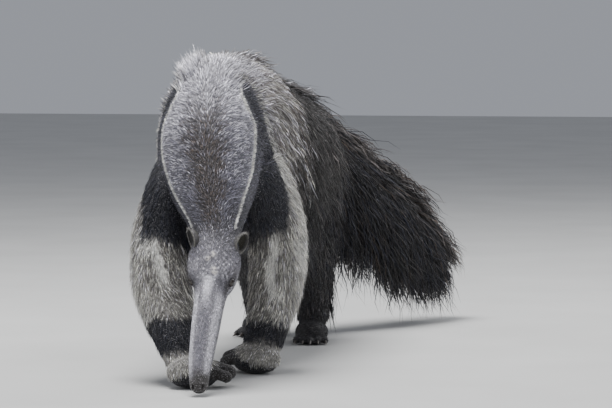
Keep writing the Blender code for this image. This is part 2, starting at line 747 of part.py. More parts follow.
def make_head(parts, cutters):
    """The head as a fine loft with lids, eye sockets, lips, the line of the mouth and nostrils."""
    frames = head_frames()[(len(SPINE) - 3) * STEPS :]
    head = loft("head", frames, parts, HEAD_SIDES, HEAD_POWER)
    cut_at = placed(HEAD_CUT_AT) + HEAD_CUT_NORMAL.normalized() * GAP
    beyond = half_space("head_cut", cut_at, HEAD_CUT_NORMAL, cutters)
    boolean(head, beyond, "INTERSECT")
    bpy.data.objects.remove(beyond, do_unlink=True)
    raised = collection_named("raised")
    sunk = collection_named("sunk")
    for side in ("left", "right"):
        frame = eye_seat(side)
        along, across = (EYE_RADIUS * share for share in LID_SHAPE)
        ring(f"lids_{side}", frame, along, across, LID_GIRTH, raised, 14, 5)
        eye = frame @ Vector((0, 0, -EYE_SUNK * EYE_RADIUS))
        radii = [EYE_RADIUS + GAP] * 3
        ball(f"socket_{side}", eye, radii, frame.to_3x3().to_4x4(), sunk, 14, 8)
        frame = tip_seat(NOSTRIL_ANGLE, NOSTRIL_TURN if side == "left" else -NOSTRIL_TURN)
        along, across = NOSTRIL_SIZE
        rim = NOSTRIL_RIM
        ring(f"nostril_rim_{side}", frame, along + rim, across + rim, rim, raised, 10, 5)
        size = (along, across, NOSTRIL_DEPTH)
        ball(f"nostril_{side}", frame.translation, size, frame.to_3x3().to_4x4(), sunk, 10, 8)
    frame = tip_seat(MOUTH_ANGLE) @ Matrix.Translation((0, 0, -LIP_SUNK))
    ring("lips", frame, MOUTH_LENGTH / 2, MOUTH_HEIGHT / 2, LIP_GIRTH, raised, 16, 5)
    radii = (MOUTH_LENGTH / 2 + LIP_GIRTH * 0.6, MOUTH_GAP / 2, 0.008)
    ball("mouth", frame.translation, radii, frame.to_3x3().to_4x4(), sunk, 14, 8)
    boolean_all(head, raised, "UNION")
    boolean_all(head, sunk, "DIFFERENCE")
    return keep_largest(head)


def make_eye(side, parts):
    frame = eye_seat(side)
    eye = frame @ Vector((0, 0, -EYE_SUNK * EYE_RADIUS))
    return ball(f"eye_{side}", eye, [EYE_RADIUS] * 3, frame.to_3x3().to_4x4(), parts, 14, 8)


def make_ear(side, parts, cutters):
    """A cupped ear, open ahead and outwards, its foot cut to the head."""
    frame = head_seat(EAR_SECTION, EAR_ANGLES[side])
    _, across, up, forward, _ = head_frames(False)[round((len(SPINE) + EAR_SECTION) * STEPS)]
    axes = (across if side == "left" else -across, up, forward)
    length = sum((axis * EAR_POINTS[k] for k, axis in enumerate(axes)), Vector()).normalized()
    opening = sum((axis * EAR_OPENS[k] for k, axis in enumerate(axes)), Vector()).normalized()
    turn = seat(Vector((0, 0, 0)), length, opening)
    at = frame.translation + length * EAR_LENGTH * (0.5 - EAR_FOOT)
    radii = Vector((EAR_DEPTH, EAR_WIDTH / 2, EAR_LENGTH / 2))
    ear = ball(f"ear_{side}", at, radii, turn, parts, 16, 10)
    cup_at = at + (turn @ Vector((EAR_DEPTH * 0.38, 0, 0)))
    cup = ball("cup", cup_at, radii - Vector((1, 1, 1)) * EAR_WALL, turn, cutters, 16, 10)
    boolean(ear, cup, "DIFFERENCE", "MANIFOLD")
    rim_at = at + turn @ Vector((EAR_DEPTH * 0.34, 0, 0))
    front = half_space("ear_front", rim_at, turn @ Vector((1, 0, 0)), cutters)
    boolean(ear, front, "DIFFERENCE", "MANIFOLD")
    head = loft("head_grown", grown(head_frames(), GAP), cutters, HEAD_SIDES, HEAD_POWER)
    boolean(ear, head, "DIFFERENCE", "MANIFOLD")
    for used in (cup, front, head):
        bpy.data.objects.remove(used, do_unlink=True)
    return keep_largest(ear)


def horn_frames(root, knuckle, tip, girth, rings):
    """Frames of a curved claw that starts in a finger and bends towards its tip."""
    points = []
    bend = knuckle + (knuckle - root).normalized() * (tip - knuckle).length * CLAW_BEND
    for k in range(rings + 1):
        t = k / rings
        points.append(knuckle * (1 - t) ** 2 + bend * 2 * t * (1 - t) + tip * t**2)
    found = []
    for k, at in enumerate(points):
        forward = (points[min(k + 1, rings)] - points[max(k - 1, 0)]).normalized()
        side = (Vector((0, 0, 1)) - forward * forward.z).normalized()
        size = girth * (1 - 0.94 * (k / rings) ** 1.4)
        found.append((at, side, forward.cross(side), forward, Vector((size, size * 0.72, size * 0.72))))
    return found


def claw_frames():
    """The name, the foot, the sections and the number of sides of every claw."""
    found = []
    for side in ("left", "right"):
        frame = paw_frame(side)
        for finger in FINGERS:
            points = (finger.root, finger.knuckle, finger.claw_tip)
            root, knuckle, tip = (frame @ Vector(at) for at in points)
            start = knuckle - (knuckle - root).normalized() * finger.girth * 0.2
            frames = horn_frames(root, start, tip, finger.girth * FORECLAW_SHARE, 6)
            found.append((f"foreclaw_{finger.name}_{side}", f"forepaw_{side}", frames, HORN_SIDES))
        frame = foot_frame(side)
        for k in range(TOES):
            root, start = toe_root(frame, k), toe_end(frame, k)
            ahead = frame.to_3x3() @ Vector((0.10 * (k - 2), 1, 0))
            tip = start + ahead * HINDCLAW_LENGTH
            tip.z = 0.0030
            start = start - (start - root).normalized() * TOE_GIRTH * 0.3
            frames = horn_frames(root, start, tip, TOE_GIRTH * 0.62, 4)
            found.append((f"hindclaw_{TOE_NAMES[k]}_{side}", f"hindfoot_{side}", frames, HORN_SIDES - 2))
    return found


def surface_of(node):
    mesh = node.data
    return BVHTree.FromPolygons([v.co for v in mesh.vertices], [list(p.vertices) for p in mesh.polygons])


def lock(name, root, lie, fall, normal, length, width, collection):
    """A flat, tapered lock that leaves its root along the lie and bends to where it falls."""
    frames = []
    for t, share in LOCK_STATIONS:
        at = root + lie * length * t * (1 - t / 2) + fall * length * t * t / 2
        forward = (lie * (1 - t) + fall * t).normalized()
        side = forward.cross(normal).normalized()
        size = width * share
        at.z = max(at.z, FLOOR_CLEAR)
        frames.append((at, side, side.cross(forward), forward, Vector((size, *[size * LOCK_FLATNESS] * 2))))
    return loft(name, frames, collection, LOCK_SIDES, pointed=True)


def directed(weights, forward, normal, side):
    along, out, across, down = weights
    return (forward * along + normal * out + side * across + Vector((0, 0, -down))).normalized()


def lock_rows(node, frames, rows, collection, draw):
    """Locks in rows along a form, rooted in the node's own surface."""
    surface = surface_of(node)
    for row in rows:
        for k in range(row.count):
            stray = draw.uniform(-LOCK_PLACE_STRAY, LOCK_PLACE_STRAY)
            share = row.first + (row.last - row.first) * (k + 0.5 + stray) / row.count
            place = share * (len(frames) - 1)
            near = frames[int(place)]
            far = frames[min(int(place) + 1, len(frames) - 1)]
            angle = math.radians(row.angle + draw.uniform(-LOCK_STRAY, LOCK_STRAY))
            wanted = ring_point(near, angle).lerp(ring_point(far, angle), place % 1)
            at, normal, _, _ = surface.find_nearest(wanted)
            lie = directed(row.lie, near[3], normal, near[1])
            fall = directed(row.fall, near[3], normal, near[1])
            turn = Matrix.Rotation(draw.uniform(-LOCK_SPREAD, LOCK_SPREAD), 3, normal)
            length = row.length * draw.uniform(*LOCK_SIZES)
            drop = -(lie.z + fall.z) / 2
            if drop > 0:
                length = min(length, (at.z - FLOOR_CLEAR) / drop)
            width = row.width * draw.uniform(*LOCK_SIZES)
            root = at - normal * LOCK_SUNK
            flat = near[1] if row.on_edge else normal
            lock("lock", root, turn @ lie, turn @ fall, flat, length, width, collection)


def puffed(node, by, collection):
    """A copy of a node whose surface stands out a little further."""
    made = copy_of(node, node.name + "_puffed", collection)
    bm = bmesh.new()
    bm.from_mesh(made.data)
    bm.normal_update()
    for vert, normal in [(v, v.normal.copy()) for v in bm.verts]:
        vert.co += normal * by
    bm.to_mesh(made.data)
    bm.free()
    return made


def add_locks(nodes, name, frames, rows, cleared, draw):
    """Joins a node's locks to it, kept clear of the nodes next to it."""
    collection = collection_named(name + "_locks")
    lock_rows(nodes[name], frames, rows, collection, draw)
    locks = collection.objects[0]
    collection.objects.unlink(locks)
    spare = collection_named(name + "_spare")
    spare.objects.link(locks)
    boolean_all(locks, collection, "UNION")
    for other in cleared:
        grown_other = puffed(nodes[other], 2 * GAP, spare)
        boolean(locks, grown_other, "DIFFERENCE", "MANIFOLD")
        bpy.data.objects.remove(grown_other, do_unlink=True)
    boolean(nodes[name], locks, "UNION", "MANIFOLD")
    bpy.data.objects.remove(locks, do_unlink=True)
    keep_largest(without_slivers(nodes[name]))


def main():
    clear_scene()
    materials = make_materials()
    parts = collection_named("giant_anteater")
    cutters = collection_named("cutters")
    body = blended_body(parts)
    nodes = {}

    # The stump beyond the neck is cleared, and a fine head takes its place.
    stump_frames = head_frames()[(len(SPINE) - 4) * STEPS : (len(SPINE) + 3) * STEPS]
    stump = loft("stump", grown(stump_frames, HEAD_CLEAR), cutters, SPINE_SIDES, HEAD_POWER)
    beyond = half_space("head_side", placed(HEAD_CUT_AT), HEAD_CUT_NORMAL, cutters)
    boolean(stump, beyond, "INTERSECT")
    boolean(body, stump, "DIFFERENCE")
    for used in (stump, beyond):
        bpy.data.objects.remove(used, do_unlink=True)
    keep_largest(body)
    floor = box("floor_cut", (-1, -1, -1), (1, 1, 0), cutters)
    boolean(body, floor, "DIFFERENCE")
    nodes["head"] = make_head(parts, cutters)
    for side in ("left", "right"):
        nodes[f"eye_{side}"] = make_eye(side, parts)
        nodes[f"ear_{side}"] = make_ear(side, parts, cutters)

    # Legs, then feet, tail and neck come off the body.
    for name in LEG_CUTS:
        leg = part_off(body, name, leg_block(name, cutters), leg_block(name, cutters, GAP), parts)
        foot, height = ("forepaw", WRIST_HEIGHT) if name.startswith("fore") else ("hindfoot", ANKLE_HEIGHT)
        foot = f"{foot}_{name.split('_')[1]}"
        nodes[foot] = part_by_plane(leg, foot, Vector((0, 0, height)), Vector((0, 0, -1)), parts, cutters)
        nodes[name] = keep_largest(leg)
    nodes["tail"] = part_by_plane(body, "tail", placed(TAIL_CUT_AT), TAIL_CUT_NORMAL, parts, cutters)
    nodes["neck"] = part_by_plane(body, "neck", placed(NECK_CUT_AT), NECK_CUT_NORMAL, parts, cutters)
    body.name = "torso"
    nodes["torso"] = keep_largest(body)

    # Claws grow out of the fingers and toes.
    for name, foot, frames, sides in claw_frames():
        nodes[name] = loft(name, frames, parts, sides)
        boolean(nodes[name], floor, "DIFFERENCE")
        socket = loft(name + "_socket", grown(frames, GAP), cutters, sides)
        boolean(nodes[foot], socket, "DIFFERENCE", "MANIFOLD")
        bpy.data.objects.remove(socket, do_unlink=True)
    bpy.data.objects.remove(floor, do_unlink=True)

    # Long hair.
    draw = random.Random(SEED)
    spine = frames_along(SPINE, STEPS, X_AXIS)
    tail = frames_along(TAIL, STEPS, -X_AXIS)
    for name, cleared in LOCK_ORDER:
        kind, _, side = name.partition("_")
        if kind == "torso":
            add_locks(nodes, name, spine, TORSO_ROWS, cleared, draw)
        elif kind == "tail":
            add_locks(nodes, name, tail, TAIL_ROWS, cleared, draw)
        else:
            joints = FORELEG_JOINTS if kind == "foreleg" else HINDLEG_JOINTS
            girths = FORELEG_GIRTHS if kind == "foreleg" else HINDLEG_GIRTHS
            rows = FORELEG_ROWS if kind == "foreleg" else HINDLEG_ROWS
            frames = frames_along(leg_sections(joints[side], girths), STEPS, X_AXIS)
            add_locks(nodes, name, frames, rows, cleared, draw)

    total = 0
    for name, node in nodes.items():
        node.name = name
        node.data.name = name
        node.data.materials.clear()
        node.data.materials.append(materials[material_of(name)])
        count = sum(len(p.vertices) - 2 for p in node.data.polygons)
        total += count
        print(f"{name:26s} {count}")
    print("triangles", total)


main()
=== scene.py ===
"""Giant anteater: skin, coat, eyes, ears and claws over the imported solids.

Metres, +Z up. The animal faces -Y with its left side at +X. Points in the tables are measured from the
floor under its shoulders, as in the solids.
"""

import json
import math
from collections import namedtuple

import bmesh
import bpy
import numpy as np
from mathutils import Matrix, Vector

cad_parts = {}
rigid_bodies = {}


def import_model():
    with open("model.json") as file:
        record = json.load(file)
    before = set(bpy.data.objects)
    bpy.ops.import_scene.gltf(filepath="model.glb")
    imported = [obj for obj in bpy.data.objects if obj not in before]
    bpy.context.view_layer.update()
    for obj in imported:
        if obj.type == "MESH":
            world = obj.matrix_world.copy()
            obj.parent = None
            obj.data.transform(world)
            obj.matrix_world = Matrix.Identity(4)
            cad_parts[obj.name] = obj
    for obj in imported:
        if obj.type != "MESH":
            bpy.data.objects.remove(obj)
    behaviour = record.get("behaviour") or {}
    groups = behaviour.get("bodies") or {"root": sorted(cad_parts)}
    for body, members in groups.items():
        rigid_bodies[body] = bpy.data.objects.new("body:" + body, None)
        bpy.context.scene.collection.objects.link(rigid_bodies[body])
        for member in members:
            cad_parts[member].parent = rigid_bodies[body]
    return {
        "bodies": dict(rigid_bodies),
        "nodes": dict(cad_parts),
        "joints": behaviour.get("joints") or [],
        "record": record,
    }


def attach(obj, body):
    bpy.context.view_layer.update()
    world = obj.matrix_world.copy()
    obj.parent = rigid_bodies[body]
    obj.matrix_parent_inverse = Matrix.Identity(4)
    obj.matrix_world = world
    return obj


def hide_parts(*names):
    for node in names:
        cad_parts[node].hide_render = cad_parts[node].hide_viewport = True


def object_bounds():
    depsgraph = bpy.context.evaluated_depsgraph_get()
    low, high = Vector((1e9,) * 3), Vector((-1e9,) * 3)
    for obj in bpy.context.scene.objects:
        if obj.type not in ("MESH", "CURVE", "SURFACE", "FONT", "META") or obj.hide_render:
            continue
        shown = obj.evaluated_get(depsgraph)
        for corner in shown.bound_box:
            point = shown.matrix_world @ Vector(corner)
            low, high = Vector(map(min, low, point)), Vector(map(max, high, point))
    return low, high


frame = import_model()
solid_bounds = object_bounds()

SEED = 7
SIDES = ("left", "right")
X_AXIS = np.array((1.0, 0.0, 0.0))
DOWN = np.array((0.0, 0.0, -1.0))
GROUND_MIDDLE = np.array((0.074, 0.422, 0.0))  # the frame's origin, in the measure of the tables
STEPS = 8  # rings from one section to the next
DOME_RINGS = 5  # rings of a form's round end
NEARBY = 0.02  # a short step along or round a form

Section = namedtuple("Section", "at side up down")

# Rump to skull, then skull to snout tip: centre, half width, and reach above and below the centre.
SPINE = [
    Section((0.000, 0.768, 0.410), 0.052, 0.050, 0.066),
    Section((0.000, 0.720, 0.405), 0.100, 0.094, 0.116),
    Section((0.000, 0.610, 0.392), 0.127, 0.138, 0.154),
    Section((0.000, 0.440, 0.392), 0.131, 0.160, 0.168),
    Section((-0.002, 0.270, 0.402), 0.135, 0.177, 0.178),
    Section((-0.006, 0.120, 0.420), 0.131, 0.194, 0.182),
    Section((-0.010, 0.010, 0.428), 0.123, 0.180, 0.174),
    Section((-0.006, -0.065, 0.415), 0.105, 0.140, 0.142),
    Section((0.009, -0.130, 0.366), 0.085, 0.096, 0.106),
    Section((0.024, -0.178, 0.314), 0.062, 0.066, 0.076),
    Section((0.032, -0.208, 0.271), 0.046, 0.048, 0.056),
]
FACE = [
    Section((0.034, -0.240, 0.228), 0.0500, 0.0420, 0.0500),
    Section((0.0360, -0.2620, 0.200), 0.0435, 0.0370, 0.0440),
    Section((0.0357, -0.2820, 0.174), 0.0302, 0.0325, 0.0375),
    Section((0.0353, -0.3320, 0.110), 0.0264, 0.0266, 0.0296),
    Section((0.0350, -0.3720, 0.056), 0.0220, 0.0212, 0.0230),
    Section((0.0374, -0.3955, 0.022), 0.0181, 0.0166, 0.0180),
]
SNOUT_TIP_ROUND = 0.016
HEAD_POWER = 2.15
TAIL = [
    Section((0.000, 0.680, 0.412), 0.070, 0.078, 0.080),
    Section((0.006, 0.750, 0.418), 0.062, 0.084, 0.096),
    Section((0.036, 0.825, 0.394), 0.054, 0.080, 0.114),
    Section((0.092, 0.910, 0.342), 0.048, 0.072, 0.122),
    Section((0.154, 1.000, 0.274), 0.044, 0.064, 0.114),
    Section((0.206, 1.080, 0.212), 0.038, 0.050, 0.088),
    Section((0.240, 1.134, 0.166), 0.026, 0.030, 0.050),
]
TAIL_END_ROUND = 0.03
FORELEG_GIRTHS = [
    (0.050, 0.080, 0.080), (0.058, 0.074, 0.080), (0.061, 0.064, 0.076),
    (0.056, 0.056, 0.062), (0.046, 0.046, 0.046), (0.040, 0.036, 0.036),
]
FORELEG_JOINTS = {
    "left": [
        (0.068, -0.010, 0.410), (0.094, 0.030, 0.320), (0.100, 0.052, 0.245),
        (0.097, 0.045, 0.165), (0.086, 0.024, 0.095), (0.074, 0.014, 0.045),
    ],
    "right": [
        (-0.068, -0.020, 0.410), (-0.090, -0.068, 0.320), (-0.097, -0.108, 0.245),
        (-0.082, -0.160, 0.165), (-0.044, -0.218, 0.095), (-0.018, -0.246, 0.045),
    ],
}
HINDLEG_GIRTHS = [
    (0.058, 0.112, 0.104), (0.060, 0.100, 0.094), (0.052, 0.076, 0.074),
    (0.042, 0.054, 0.056), (0.037, 0.042, 0.044),
]
HINDLEG_JOINTS = {
    "left": [
        (0.062, 0.640, 0.385), (0.070, 0.600, 0.290), (0.072, 0.590, 0.205),
        (0.069, 0.622, 0.120), (0.066, 0.650, 0.045),
    ],
    "right": [
        (-0.062, 0.655, 0.385), (-0.072, 0.670, 0.290), (-0.074, 0.686, 0.205),
        (-0.072, 0.748, 0.120), (-0.070, 0.782, 0.045),
    ],
}
FOREPAW_AT = {"left": (0.066, 0.006, 0), "right": (0.000, -0.262, 0)}
FOREPAW_TURN = math.radians(22)
FIST_HALF_LENGTH = 0.054
FIST_HALF_WIDTH = 0.045
FIST_HEIGHT = 0.066
Finger = namedtuple("Finger", "name root knuckle girth claw_tip")
FINGERS = [
    Finger("second", (0.014, 0.024, 0.038), (0.058, 0.020, 0.021), 0.0125, (0.062, -0.018, 0.006)),
    Finger("third", (0.014, -0.010, 0.046), (0.070, -0.012, 0.026), 0.0150, (0.060, -0.068, 0.006)),
    Finger("fourth", (0.004, -0.030, 0.034), (0.034, -0.040, 0.019), 0.0110, (0.030, -0.078, 0.005)),
]
BARE_FINGER_START = 0.45  # share of a finger that the fur covers
PAW_TOP = 0.05
PAW_REACH = 0.115
CLAW_BEND = 0.28
CLAW_HEIGHT = 0.0002  # least height of a claw over the floor
FORECLAW_SHARE = 0.72  # girth of a claw, as a share of its finger's
HINDCLAW_SHARE = 0.62
HINDFOOT_AT = {"left": (0.066, 0.628, 0), "right": (-0.070, 0.760, 0)}
HINDFOOT_TURN = math.radians(8)
HINDFOOT_HALF_LENGTH = 0.064
HINDFOOT_HALF_WIDTH = 0.037
HINDFOOT_HEIGHT = 0.056
TOES = 5
TOE_SPREAD = 0.0135
TOE_GIRTH = 0.0085
TOE_LENGTH = 0.022
TOE_NAMES = ["first", "second", "third", "fourth", "fifth"]
HINDCLAW_LENGTH = 0.020
HINDCLAW_TIP_HEIGHT = 0.0030

# Head details.
EYE_RADIUS = 0.0080
EYE_PLACE = 12.3
EYE_ANGLE = math.radians(10)
EYE_SUNK = 0.62
EYE_NEAR = 0.014  # how far in and out the eye's surroundings reach
LID_THICKNESS = 0.0011
LID_SAG = 0.0010
FOLD_DEPTH = 0.0009
SOCKET_DEPTH = 0.0062
EAR_PLACE = 10.45
EAR_ANGLES = {"left": math.radians(14), "right": math.radians(138)}  # the head is turned a little
EAR_LENGTH = 0.042
EAR_WIDTH = 0.030
EAR_DEPTH = 0.013
EAR_WALL = 0.0024
EAR_FOOT = 0.24
EAR_POINTS = (0.40, 0.10, -0.91)
EAR_OPENS = (0.80, 0.34, 0.49)
MOUTH_ANGLE = math.radians(-24)
MOUTH_LENGTH = 0.019
MOUTH_DEPTH = 0.0030
LIP_RISE = 0.0011
NOSTRIL_ANGLE = math.radians(44)
NOSTRIL_TURN = math.radians(34)
NOSTRIL_SIZE = (0.0026, 0.0042)
NOSTRIL_DEPTH = 0.0052
# Bare, worn lumps on the forehead: place, degrees from the top line, reach and rise.
Lump = namedtuple("Lump", "place turn reach rise")
WORN_LUMPS = [
    Lump(11.10, 5, 0.0058, 0.0020),
    Lump(11.32, -5, 0.0050, 0.0016),
    Lump(11.98, 8, 0.0058, 0.0024),
    Lump(12.16, 13, 0.0048, 0.0018),
]

# Skin.
SKIN_VOXEL = 0.003
SKIN_TRIANGLES = 106000
COAT_DEPTHS = {"torso": 0.010, "neck": 0.007, "face": 0.0012, "tail": 0.011, "leg": 0.008, "wrist": 0.005}
PAW_DEPTH = 0.004
FINGER_DEPTH = 0.0015
SOLE_HEIGHT = 0.0004
FACE_DEEP = 0.012  # farthest from the face's surface that its mesh is refined
FACE_NEAR = 0.010  # nearer to the face than this nothing counts as a paw
WORN_COLOUR = (0.70, 0.66, 0.62)
FRECKLE_COLOUR = (0.66, 0.64, 0.67)

# Coat.
FLOOR_CLEAR = 0.004
EYE_BARE = 0.0115  # bare skin round the eye, the nose and the fingers, and on the soles
NOSE_BARE = 0.020
DIGIT_BARE = 0.002
SOLE_BARE = 0.006
PIECE_TRIANGLES = 190000
BAKE_PATCH = 0.003  # width of a tuft's own patch on the unwrap

# Camera of the photo, and the light.
LENS = 205.88
CAMERA_AT = (1.2498, -6.997, 0.7241)
CAMERA_AIM = (-0.1733, 0.9831, -0.0593)
FLOOR_SIZE = 14.0
LIGHT_PANELS = [
    ("sky_panel", (-0.5, -0.2, 4.0), 2.2, 275.0),
    ("front_panel", (2.2, -4.0, 2.6), 2.6, 34.0),
    ("side_panel", (-3.4, -2.2, 2.2), 2.4, 28.0),
    ("rear_panel", (2.6, 3.2, 3.2), 2.2, 80.0),
]
LIGHT_AIM = (0.0, -0.1, 0.3)
ROOM_COLOUR = (0.86, 0.90, 1.0, 1.0)
ROOM_LIGHT = 0.38

draw = np.random.default_rng(SEED)


def unit(vectors):
    length = np.linalg.norm(vectors, axis=-1, keepdims=True)
    return vectors / np.maximum(length, 1e-9)


def dot(a, b):
    return (a * b).sum(axis=-1, keepdims=True)


def smooth(low, high, value):
    t = np.clip((value - low) / (high - low), 0, 1)
    return t * t * (3 - 2 * t)


def stretch(value, start, full, still_full, end):
    """1 between the middle two limits, fading to 0 at the outer two."""
    return smooth(start, full, value) * smooth(end, still_full, value)


def bell(value, middle, width):
    return np.exp(-(((value - middle) / width) ** 2))


def distance(points, spot):
    return np.linalg.norm(points - spot, axis=1)


def degrees_from_top(angle):
    """Degrees from the top line, on either side, of an angle round a form."""
    return np.abs((angle - 90 + 180) % 360 - 180)


def ripple(points, size, seed, waves=7):
    """A soft wandering value from -1 to 1 whose swells are about a size across."""
    pick = np.random.default_rng(seed)
    ways = unit(pick.normal(size=(waves, 3))) * (math.tau / size) * pick.uniform(0.6, 1.5, (waves, 1))
    return np.sin(points @ ways.T + pick.uniform(0, math.tau, waves)).sum(axis=1) / (0.55 * waves)


class Form:
    """A tube through sections on a smooth curve, as in the solids.

    A place along it counts sections. An angle starts at its side axis, with a quarter turn at its top.
    """

    def __init__(self, sections, side_axis, power=2.0, dome=0.0):
        given = np.array([[*s.at, s.side, s.up, s.down] for s in sections])
        given[:, :3] -= GROUND_MIDDLE
        given = np.vstack([given[:1], given, given[-1:]])
        rows = []
        for k in range(1, len(given) - 2):
            a, b, c, d = given[k - 1 : k + 3]
            for t in np.arange(STEPS) / STEPS:
                bend = (2 * a - 5 * b + 4 * c - d) * t * t + (3 * b - a - 3 * c + d) * t**3
                rows.append(0.5 * (2 * b + (c - a) * t + bend))
        rows.append(given[-1])
        rows = np.array(rows)
        self.centre, self.size = rows[:, :3], rows[:, 3:]
        ahead = np.vstack([self.centre[1:], self.centre[-1:]])
        behind = np.vstack([self.centre[:1], self.centre[:-1]])
        self.forward = unit(ahead - behind)
        if dome:
            turns = 0.5 * math.pi * np.arange(1, DOME_RINGS + 1)[:, None] / (DOME_RINGS + 0.35)
            tip = self.centre[-1] + self.forward[-1] * dome * np.sin(turns)
            self.size = np.vstack([self.size, self.size[-1] * np.cos(turns)])
            self.centre = np.vstack([self.centre, tip])
            self.forward = np.vstack([self.forward, np.repeat(self.forward[-1:], DOME_RINGS, axis=0)])
        self.side = unit(side_axis - self.forward * (self.forward @ side_axis)[:, None])
        self.up = np.cross(self.forward, self.side)
        self.power = power

    def between(self, rows, place):
        """Rows of the form taken between its rings."""
        at = np.clip(np.asarray(place, float) * STEPS, 0, len(rows) - 1.0001)
        k = at.astype(int)
        t = (at - k)[..., None]
        return rows[k] * (1 - t) + rows[k + 1] * t

    def point(self, place, angle, inset):
        """The point at a place and an angle, sunk by the inset."""
        c, s = np.cos(angle), np.sin(angle)
        size = self.between(self.size, place) - np.asarray(inset)[..., None]
        reach = np.where(s > 0, size[..., 1], size[..., 2])
        across = np.sign(c) * np.abs(c) ** (2 / self.power) * size[..., 0]
        over = np.sign(s) * np.abs(s) ** (2 / self.power) * reach
        side, up = self.between(self.side, place), self.between(self.up, place)
        return self.between(self.centre, place) + side * across[..., None] + up * over[..., None]

    def rings(self, sides, depth):
        """Rings of points along the form, sunk by the coat's depth at each place."""
        places = np.arange(len(self.centre)) / STEPS
        places[-1] -= 1e-6
        angles = math.tau * np.arange(sides) / sides
        return [self.point(np.full(sides, p), angles, np.full(sides, depth(p))) for p in places]

    def locate(self, points):
        """Place, angle and height over the form's surface of each point."""
        along = points @ self.forward.T - (self.centre * self.forward).sum(axis=1)
        away = (points**2).sum(axis=1)[:, None] - 2 * points @ self.centre.T + (self.centre**2).sum(axis=1)
        between = (along[:, :-1] >= 0) & (along[:, 1:] < 0)
        k = np.where(between, away[:, :-1], np.inf).argmin(axis=1)
        row = np.arange(len(points))
        t = along[row, k] / (along[row, k] - along[row, k + 1])
        found = between.any(axis=1)
        last = len(self.centre) - 1
        clamped = np.where(along[:, 0] < 0, 0, last)
        place = np.where(found, k + t, clamped) / STEPS
        beyond = np.where(found, 0, np.abs(along[row, clamped]))
        offset = points - self.between(self.centre, place)
        size = self.between(self.size, place)
        x = (offset * self.between(self.side, place)).sum(axis=1)
        y = (offset * self.between(self.up, place)).sum(axis=1)
        reach = np.where(y > 0, size[:, 1], size[:, 2])
        half = self.power / 2
        c, s = (np.abs(x) / size[:, 0]) ** half, (np.abs(y) / reach) ** half
        level = np.maximum((c**2 + s**2) ** (1 / self.power), 1e-4)
        height = np.hypot(x, y) * (1 - 1 / level)
        return place, np.arctan2(np.sign(y) * s, np.sign(x) * c), np.hypot(height, beyond)


def leg_form(joints, girths):
    return Form([Section(at, *girth) for at, girth in zip(joints, girths)], X_AXIS)


FORMS = {
    "trunk": Form(SPINE + FACE, X_AXIS, HEAD_POWER, SNOUT_TIP_ROUND),
    "tail": Form(TAIL, -X_AXIS, 2.0, TAIL_END_ROUND),
    **{f"foreleg_{side}": leg_form(FORELEG_JOINTS[side], FORELEG_GIRTHS) for side in SIDES},
    **{f"hindleg_{side}": leg_form(HINDLEG_JOINTS[side], HINDLEG_GIRTHS) for side in SIDES},
}
FORM_NAMES = list(FORMS)
TRUNK = FORMS["trunk"]


def trunk_depth(place):
    torso, neck, face = (COAT_DEPTHS[name] for name in ("torso", "neck", "face"))
    return np.interp(place, [6.2, 7.4, 9.3, 10.6], [torso, neck, neck, face])


def leg_depth(place):
    return np.interp(place, [2.0, 4.5], [COAT_DEPTHS["leg"], COAT_DEPTHS["wrist"]])


def coat_depth(name):
    if name == "trunk":
        return trunk_depth
    return leg_depth if "leg" in name else lambda place: COAT_DEPTHS["tail"]


# Paws, feet and the head's seats.
def matrix_of(x, y, z, at):
    made = Matrix((x, y, z)).transposed().to_4x4()
    made.translation = at
    return made


def placed(point):
    return Vector(point) - Vector(GROUND_MIDDLE)


def paw_frame(side):
    """Matrix whose X points to the knuckles, inwards, and whose Y points ahead."""
    inwards = math.pi - FOREPAW_TURN if side == "left" else FOREPAW_TURN
    x = Vector((math.cos(inwards), math.sin(inwards), 0))
    y = Vector((-x.y, x.x, 0))
    y = y if y.y < 0 else -y
    return matrix_of(x, y, Vector((0, 0, 1)), placed(FOREPAW_AT[side]))


def foot_frame(side):
    """Matrix whose X points to the little toe's side, outwards, and whose Y points ahead."""
    out = 1 if side == "left" else -1
    y = Vector((out * math.sin(HINDFOOT_TURN), -math.cos(HINDFOOT_TURN), 0))
    return matrix_of(Vector((-y.y, y.x, 0)) * out, y, Vector((0, 0, 1)), placed(HINDFOOT_AT[side]))


def toe_points(frame, k):
    """Where toe k leaves the hind foot, and where it ends."""
    middle = k - (TOES - 1) / 2
    ahead = HINDFOOT_HALF_LENGTH * (0.80 - 0.10 * abs(middle))
    root = frame @ Vector((middle * TOE_SPREAD, ahead, TOE_GIRTH * 1.5))
    end = frame @ Vector((middle * TOE_SPREAD * 1.12, ahead + TOE_LENGTH, TOE_GIRTH * 0.95))
    return root, end


def seat(at, out, ahead):
    """Matrix at a point of a surface: X along it, Z out of it."""
    x = (ahead - out * ahead.dot(out)).normalized()
    return matrix_of(x, out.cross(x), out, at)


def head_seat(place, angle):
    """The seat on the trunk's surface at a place and an angle."""
    at, far, around = (
        Vector(TRUNK.point(np.array(p), np.array(a), np.array(0.0)))
        for p, a in ((place, angle), (place + NEARBY, angle), (place, angle + NEARBY))
    )
    out = (far - at).cross(around - at).normalized()
    centre = Vector(TRUNK.between(TRUNK.centre, place))
    out = out if out.dot(at - centre) > 0 else -out
    return seat(at, out, (far - at).normalized())


def eye_seat(side):
    return head_seat(EYE_PLACE, EYE_ANGLE if side == "left" else math.pi - EYE_ANGLE)


